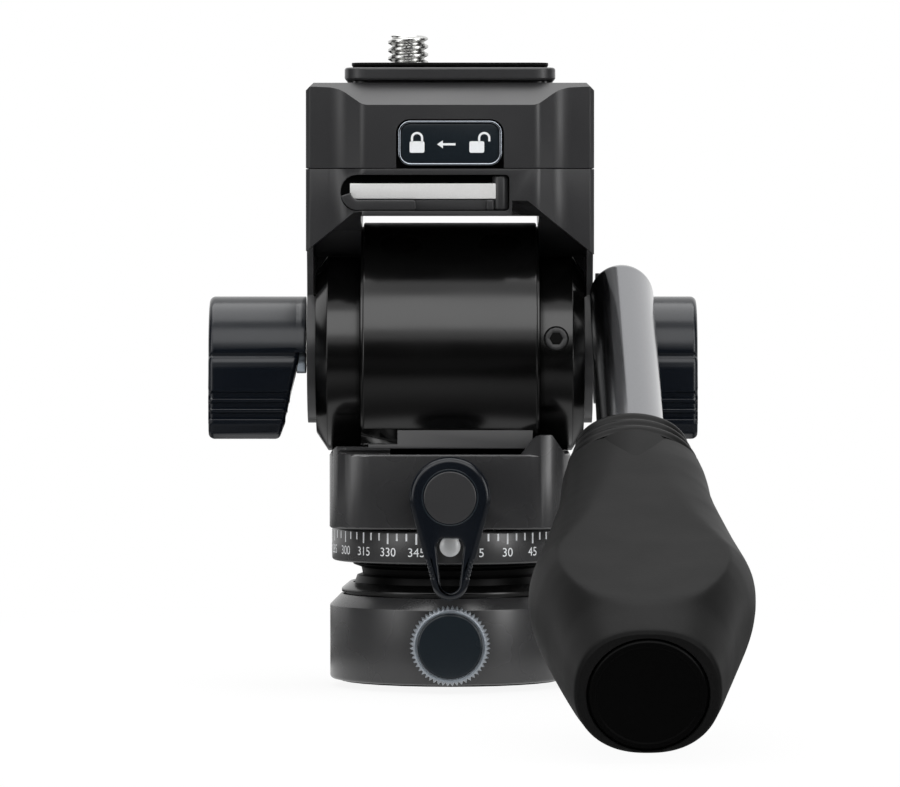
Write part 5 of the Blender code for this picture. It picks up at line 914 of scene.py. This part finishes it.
def handle():
    """Rod, ridged collar, rubber grip and end cap, all carried along the rod's line."""
    place = rod_place()
    t = np.linspace(math.radians(30), math.pi / 2, 16)
    dome = np.column_stack((4.95 * np.sin(t), -4.95 * np.cos(t)))
    rod = np.vstack(([(0, 94.4), (4.95, 94.4)], dome[::-1], [(2.05, -4.45), (2.05, -1.4), (0, -1.4)]))
    keep(turned("rod_skin", rod, place, 128), "handle", "grey_tube", "handle_rod")
    grip_skin(place)

    ridges = settings().collar_ridges
    low, length, bore = 60.5, 11.7, 5.2
    u = full_turn(160)
    share = np.linspace(0, 1, 90)[:, None]
    halfw = np.interp(share, (0, 0.35, 0.7, 1), (7.9, 8.45, 9.2, 9.75))
    halfh = np.interp(share, (0, 0.35, 0.7, 1), (5.15, 5.85, 6.5, 7.1))
    ridge = 0.32 * np.sin(2 * math.pi * ridges * share)
    along = low + share * length
    collar = np.stack(((halfw + ridge) * np.cos(u), (halfh + ridge) * np.sin(u), along + 0 * u), -1)
    grid = np.concatenate((collar, around(bore, u, low + length), around(bore, u, low), collar[:1]))
    keep(surface("collar_skin", grid, place, caps=False, angle=40), "handle", "moulded_black",
         "grip_collar")
    cap = rounded([(0, 147.85), (7.0, 147.85), (7.25, 148.0), (7.85, 148.0), (8.1, 147.7), (8.1, 146.8),
                   (0, 146.8)], [0, 0.1, 0.12, 0.2, 0.2, 0.1, 0])
    keep(turned("cap_skin", cap, place), "handle", "moulded_black", "grip_end_cap")
    keep(turned("cap_plug", [(0, 146.8), (2.0, 146.8), (2.0, 137.5), (0, 137.5)], place, 48), "handle",
         "moulded_black")


def dress_cad():
    """The CAD nodes that stay get the finish of their slot."""
    slots = {row["node"]: row["material_slot"] for row in frame["record"]["subparts"]}
    for name, piece in frame["nodes"].items():
        piece.data.materials.clear()
        piece.data.materials.append(FINISHES[slots[name]])


def area_lamp(name, place, aim, size, power):
    """A soft rectangular lamp at a place in mm that faces a point."""
    lamp = bpy.data.lights.new(name, "AREA")
    lamp.shape = "RECTANGLE"
    lamp.size, lamp.size_y = size[0] * MM, size[1] * MM
    lamp.energy = power
    holder = new_object(name, lamp)
    holder.location = Vector(place) * MM
    way = (Vector(aim) - Vector(place)).normalized()
    holder.rotation_euler = way.to_track_quat("-Z", "Y").to_euler()


def seen_rays(tree):
    """One for the rays that show the white backdrop: camera, mirror and glass; zero for soft light."""
    rays = node(tree, "ShaderNodeLightPath")
    first = node(tree, "ShaderNodeMath", {"operation": "MAXIMUM"}, _0=(rays, "Is Camera Ray"),
                 _1=(rays, "Is Transmission Ray"))
    return node(tree, "ShaderNodeMath", {"operation": "MAXIMUM"}, _0=(first, "Value"),
                _1=(rays, "Is Glossy Ray"))


def flag(name, corners):
    """A dark card that only mirrors see: its reflection draws a band on the satin metal."""
    mesh = bpy.data.meshes.new(name)
    mesh.from_pydata([tuple(value * MM for value in corner) for corner in corners], [], [(0, 1, 2, 3)])
    card = new_object(name, mesh)
    card.visible_camera = card.visible_transmission = card.visible_shadow = False
    cloth = new_material(name + "_cloth", Base_Color=(0.01, 0.01, 0.01, 1), Roughness=1.0)[0]
    mesh.materials.append(cloth)


def studio():
    """Floor, backdrop light, lamps and the camera of the photograph."""
    scene = bpy.context.scene
    choice = scene.head_studio
    half, low = 3000 * MM, -0.9 * MM
    mesh = bpy.data.meshes.new("floor")
    mesh.from_pydata([(-half, -half, low), (half, -half, low), (half, half, low), (-half, half, low)],
                     [], [(0, 1, 2, 3)])
    floor = new_object("floor", mesh)
    painted_floor, tree, shader = new_material("studio_floor_painted_rings", Base_Color=(*choice.floor_colour, 1), Roughness=0.9)
    seen = seen_rays(tree)
    glow = node(tree, "ShaderNodeEmission", Color=(1, 1, 1, 1), Strength=choice.floor_glow)
    place = node(tree, "ShaderNodeTexCoord")
    away = node(tree, "ShaderNodeVectorMath", {"operation": "LENGTH"}, _0=(place, "Object"))
    step = node(tree, "ShaderNodeMath", {"operation": "DIVIDE"}, _0=(away, "Value"), _1=500 * MM)
    # Painted reflection: what mirror rays see of the floor are painted dark and grey rings round the foot,
    # which draw reflection bands on the base
    foot = ramp(tree, (step, "Value"), ((0.085, "#ffffff"), (0.1, "#202020"), (0.12, "#202020"),
                                        (0.2, "#a0a0a0"), (0.27, "#a0a0a0"), (0.34, "#101010"),
                                        (0.5, "#101010"), (0.7, "#ffffff")))
    rays = node(tree, "ShaderNodeLightPath")
    shown = node(tree, "ShaderNodeMixRGB", _0=(rays, "Is Glossy Ray"), _1=(1, 1, 1, 1), _2=(foot, "Color"))
    tree.links.new(shown.outputs["Color"], glow.inputs["Color"])
    # The white share rises with distance, so that a faint shadow stays at the foot
    clear = node(tree, "ShaderNodeMapRange", Value=(step, "Value"), From_Min=0.1, From_Max=0.4,
                 To_Min=choice.floor_white, To_Max=1.0)
    share = node(tree, "ShaderNodeMath", {"operation": "MULTIPLY"}, _0=(seen, "Value"),
                 _1=(clear, "Result"))
    mixed = node(tree, "ShaderNodeMixShader", _0=(share, "Value"), _1=(shader, "BSDF"),
                 _2=(glow, "Emission"))
    tree.links.new(mixed.outputs["Shader"], tree.nodes["Material Output"].inputs["Surface"])
    floor.data.materials.append(painted_floor)

    world = bpy.data.worlds.new("studio")
    scene.world = world
    world.use_nodes = True
    tree = world.node_tree
    tree.nodes.clear()
    seen = seen_rays(tree)
    soft = node(tree, "ShaderNodeBackground", Color=(1, 1, 1, 1), Strength=choice.soft_light)
    white = node(tree, "ShaderNodeBackground", Color=(1, 1, 1, 1), Strength=1.0)
    mixed = node(tree, "ShaderNodeMixShader", _0=(seen, "Value"), _1=(soft, "Background"),
                 _2=(white, "Background"))
    node(tree, "ShaderNodeOutputWorld", Surface=(mixed, "Shader"))

    edge, near, far = 700, -230, -1300
    flag("floor_flag", ((-edge, far, 0), (edge, far, 0), (edge, near, 0), (-edge, near, 0)))
    flag("back_flag", ((-edge, far, 0), (edge, far, 0), (edge, far, 340), (-edge, far, 340)))
    for side in (-edge, edge):
        corners = ((side, -190, 0), (side, 300, 0), (side, 300, 700), (side, -190, 700))
        flag(f"side_flag_{side}", corners)
    area_lamp("left_softbox", (-500, -380, 260), (0, 0, 50), (220, 600), 0.5 * choice.side_power)
    area_lamp("right_softbox", (500, -380, 260), (0, 0, 50), (220, 600), choice.side_power)
    area_lamp("top_softbox", (0, 60, 640), (0, 0, 50), (800, 600), choice.top_power)
    area_lamp("front_softbox", (0, -620, 520), (0, 0, 60), (900, 420), choice.front_power)

    # The photograph's camera: its width, focal length and tilt down in pixels, worked out from the grip
    width, focal, drop = 900, 6537, 176.5
    view = bpy.data.cameras.new("camera")
    view.sensor_width = 36
    view.lens = focal / width * view.sensor_width
    view.clip_start = 0.05
    view.clip_end = 20
    holder = new_object("camera", view)
    holder.location = Vector((0, -1033, 73.1)) * MM
    holder.rotation_euler = (math.pi / 2 - math.atan(drop / focal), 0, 0)
    scene.camera = holder
    scene.view_settings.view_transform = "Standard"


class HEAD_OT_finishes(bpy.types.Operator):
    """Make the finishes and dress every CAD node"""
    bl_idname = "head.finishes"
    bl_label = "Finishes"

    def execute(self, context):
        FINISHES.update(make_finishes())
        dress_cad()
        return {"FINISHED"}


class HEAD_OT_levelling(bpy.types.Operator):
    """Build the base, its collar, the ball and the knob"""
    bl_idname = "head.levelling"
    bl_label = "Base, ball and knob"

    def execute(self, context):
        levelling_base()
        knurled_knob()
        return {"FINISHED"}


class HEAD_OT_scale(bpy.types.Operator):
    """Build the degree ring with its marks, numbers and stud"""
    bl_idname = "head.scale"
    bl_label = "Degree scale"

    def execute(self, context):
        scale_ring()
        return {"FINISHED"}


class HEAD_OT_pan(bpy.types.Operator):
    """Build the pan lever and the tilt barrel with its rings"""
    bl_idname = "head.pan"
    bl_label = "Pan lever and barrel"

    def execute(self, context):
        pan_lever()
        tilt_barrel()
        return {"FINISHED"}


class HEAD_OT_yoke(bpy.types.Operator):
    """Refine the housing, yoke and clamp, and build the button and the release bar"""
    bl_idname = "head.yoke"
    bl_label = "Yoke, clamp, button and release"

    def execute(self, context):
        yoke_and_clamp()
        lock_button()
        release_lever()
        return {"FINISHED"}


class HEAD_OT_plate(bpy.types.Operator):
    """Build the plate, its pad and the camera screw"""
    bl_idname = "head.plate"
    bl_label = "Plate and screw"

    def execute(self, context):
        plate_and_screw()
        return {"FINISHED"}


class HEAD_OT_levers(bpy.types.Operator):
    """Build the two lock levers"""
    bl_idname = "head.levers"
    bl_label = "Lock levers"

    def execute(self, context):
        lock_levers()
        return {"FINISHED"}


class HEAD_OT_handle(bpy.types.Operator):
    """Build the rod, collar, grip and end cap"""
    bl_idname = "head.handle"
    bl_label = "Pan handle"

    def execute(self, context):
        handle()
        return {"FINISHED"}


class HEAD_OT_studio(bpy.types.Operator):
    """Build the floor, lamps, backdrop and camera"""
    bl_idname = "head.studio"
    bl_label = "Studio"

    def execute(self, context):
        studio()
        return {"FINISHED"}


class HEAD_PT_tools(bpy.types.Panel):
    """Lists the steps in their order, with the sizes they take"""
    bl_label = "Video head"
    bl_idname = "HEAD_PT_tools"
    bl_space_type = "VIEW_3D"
    bl_region_type = "UI"
    bl_category = "Video head"

    def draw(self, context):
        for group in (context.scene.head_sizes, context.scene.head_studio):
            for name in group.__annotations__:
                self.layout.prop(group, name)
        for step in OPERATORS:
            self.layout.operator(step.bl_idname)


OPERATORS = (HEAD_OT_finishes, HEAD_OT_levelling, HEAD_OT_scale, HEAD_OT_pan, HEAD_OT_yoke,
             HEAD_OT_plate, HEAD_OT_levers, HEAD_OT_handle, HEAD_OT_studio)
CLASSES = (HeadSizes, StudioSettings, *OPERATORS, HEAD_PT_tools)


def register():
    for item in CLASSES:
        bpy.utils.register_class(item)
    bpy.types.Scene.head_sizes = PointerProperty(type=HeadSizes)
    bpy.types.Scene.head_studio = PointerProperty(type=StudioSettings)


def unregister():
    del bpy.types.Scene.head_studio
    del bpy.types.Scene.head_sizes
    for item in reversed(CLASSES):
        bpy.utils.unregister_class(item)


def main():
    register()
    bpy.ops.head.finishes()
    bpy.ops.head.levelling()
    bpy.ops.head.scale()
    bpy.ops.head.pan()
    bpy.ops.head.yoke()
    bpy.ops.head.plate()
    bpy.ops.head.levers()
    bpy.ops.head.handle()
    bpy.ops.head.studio()


if __name__ == "__main__":
    main()
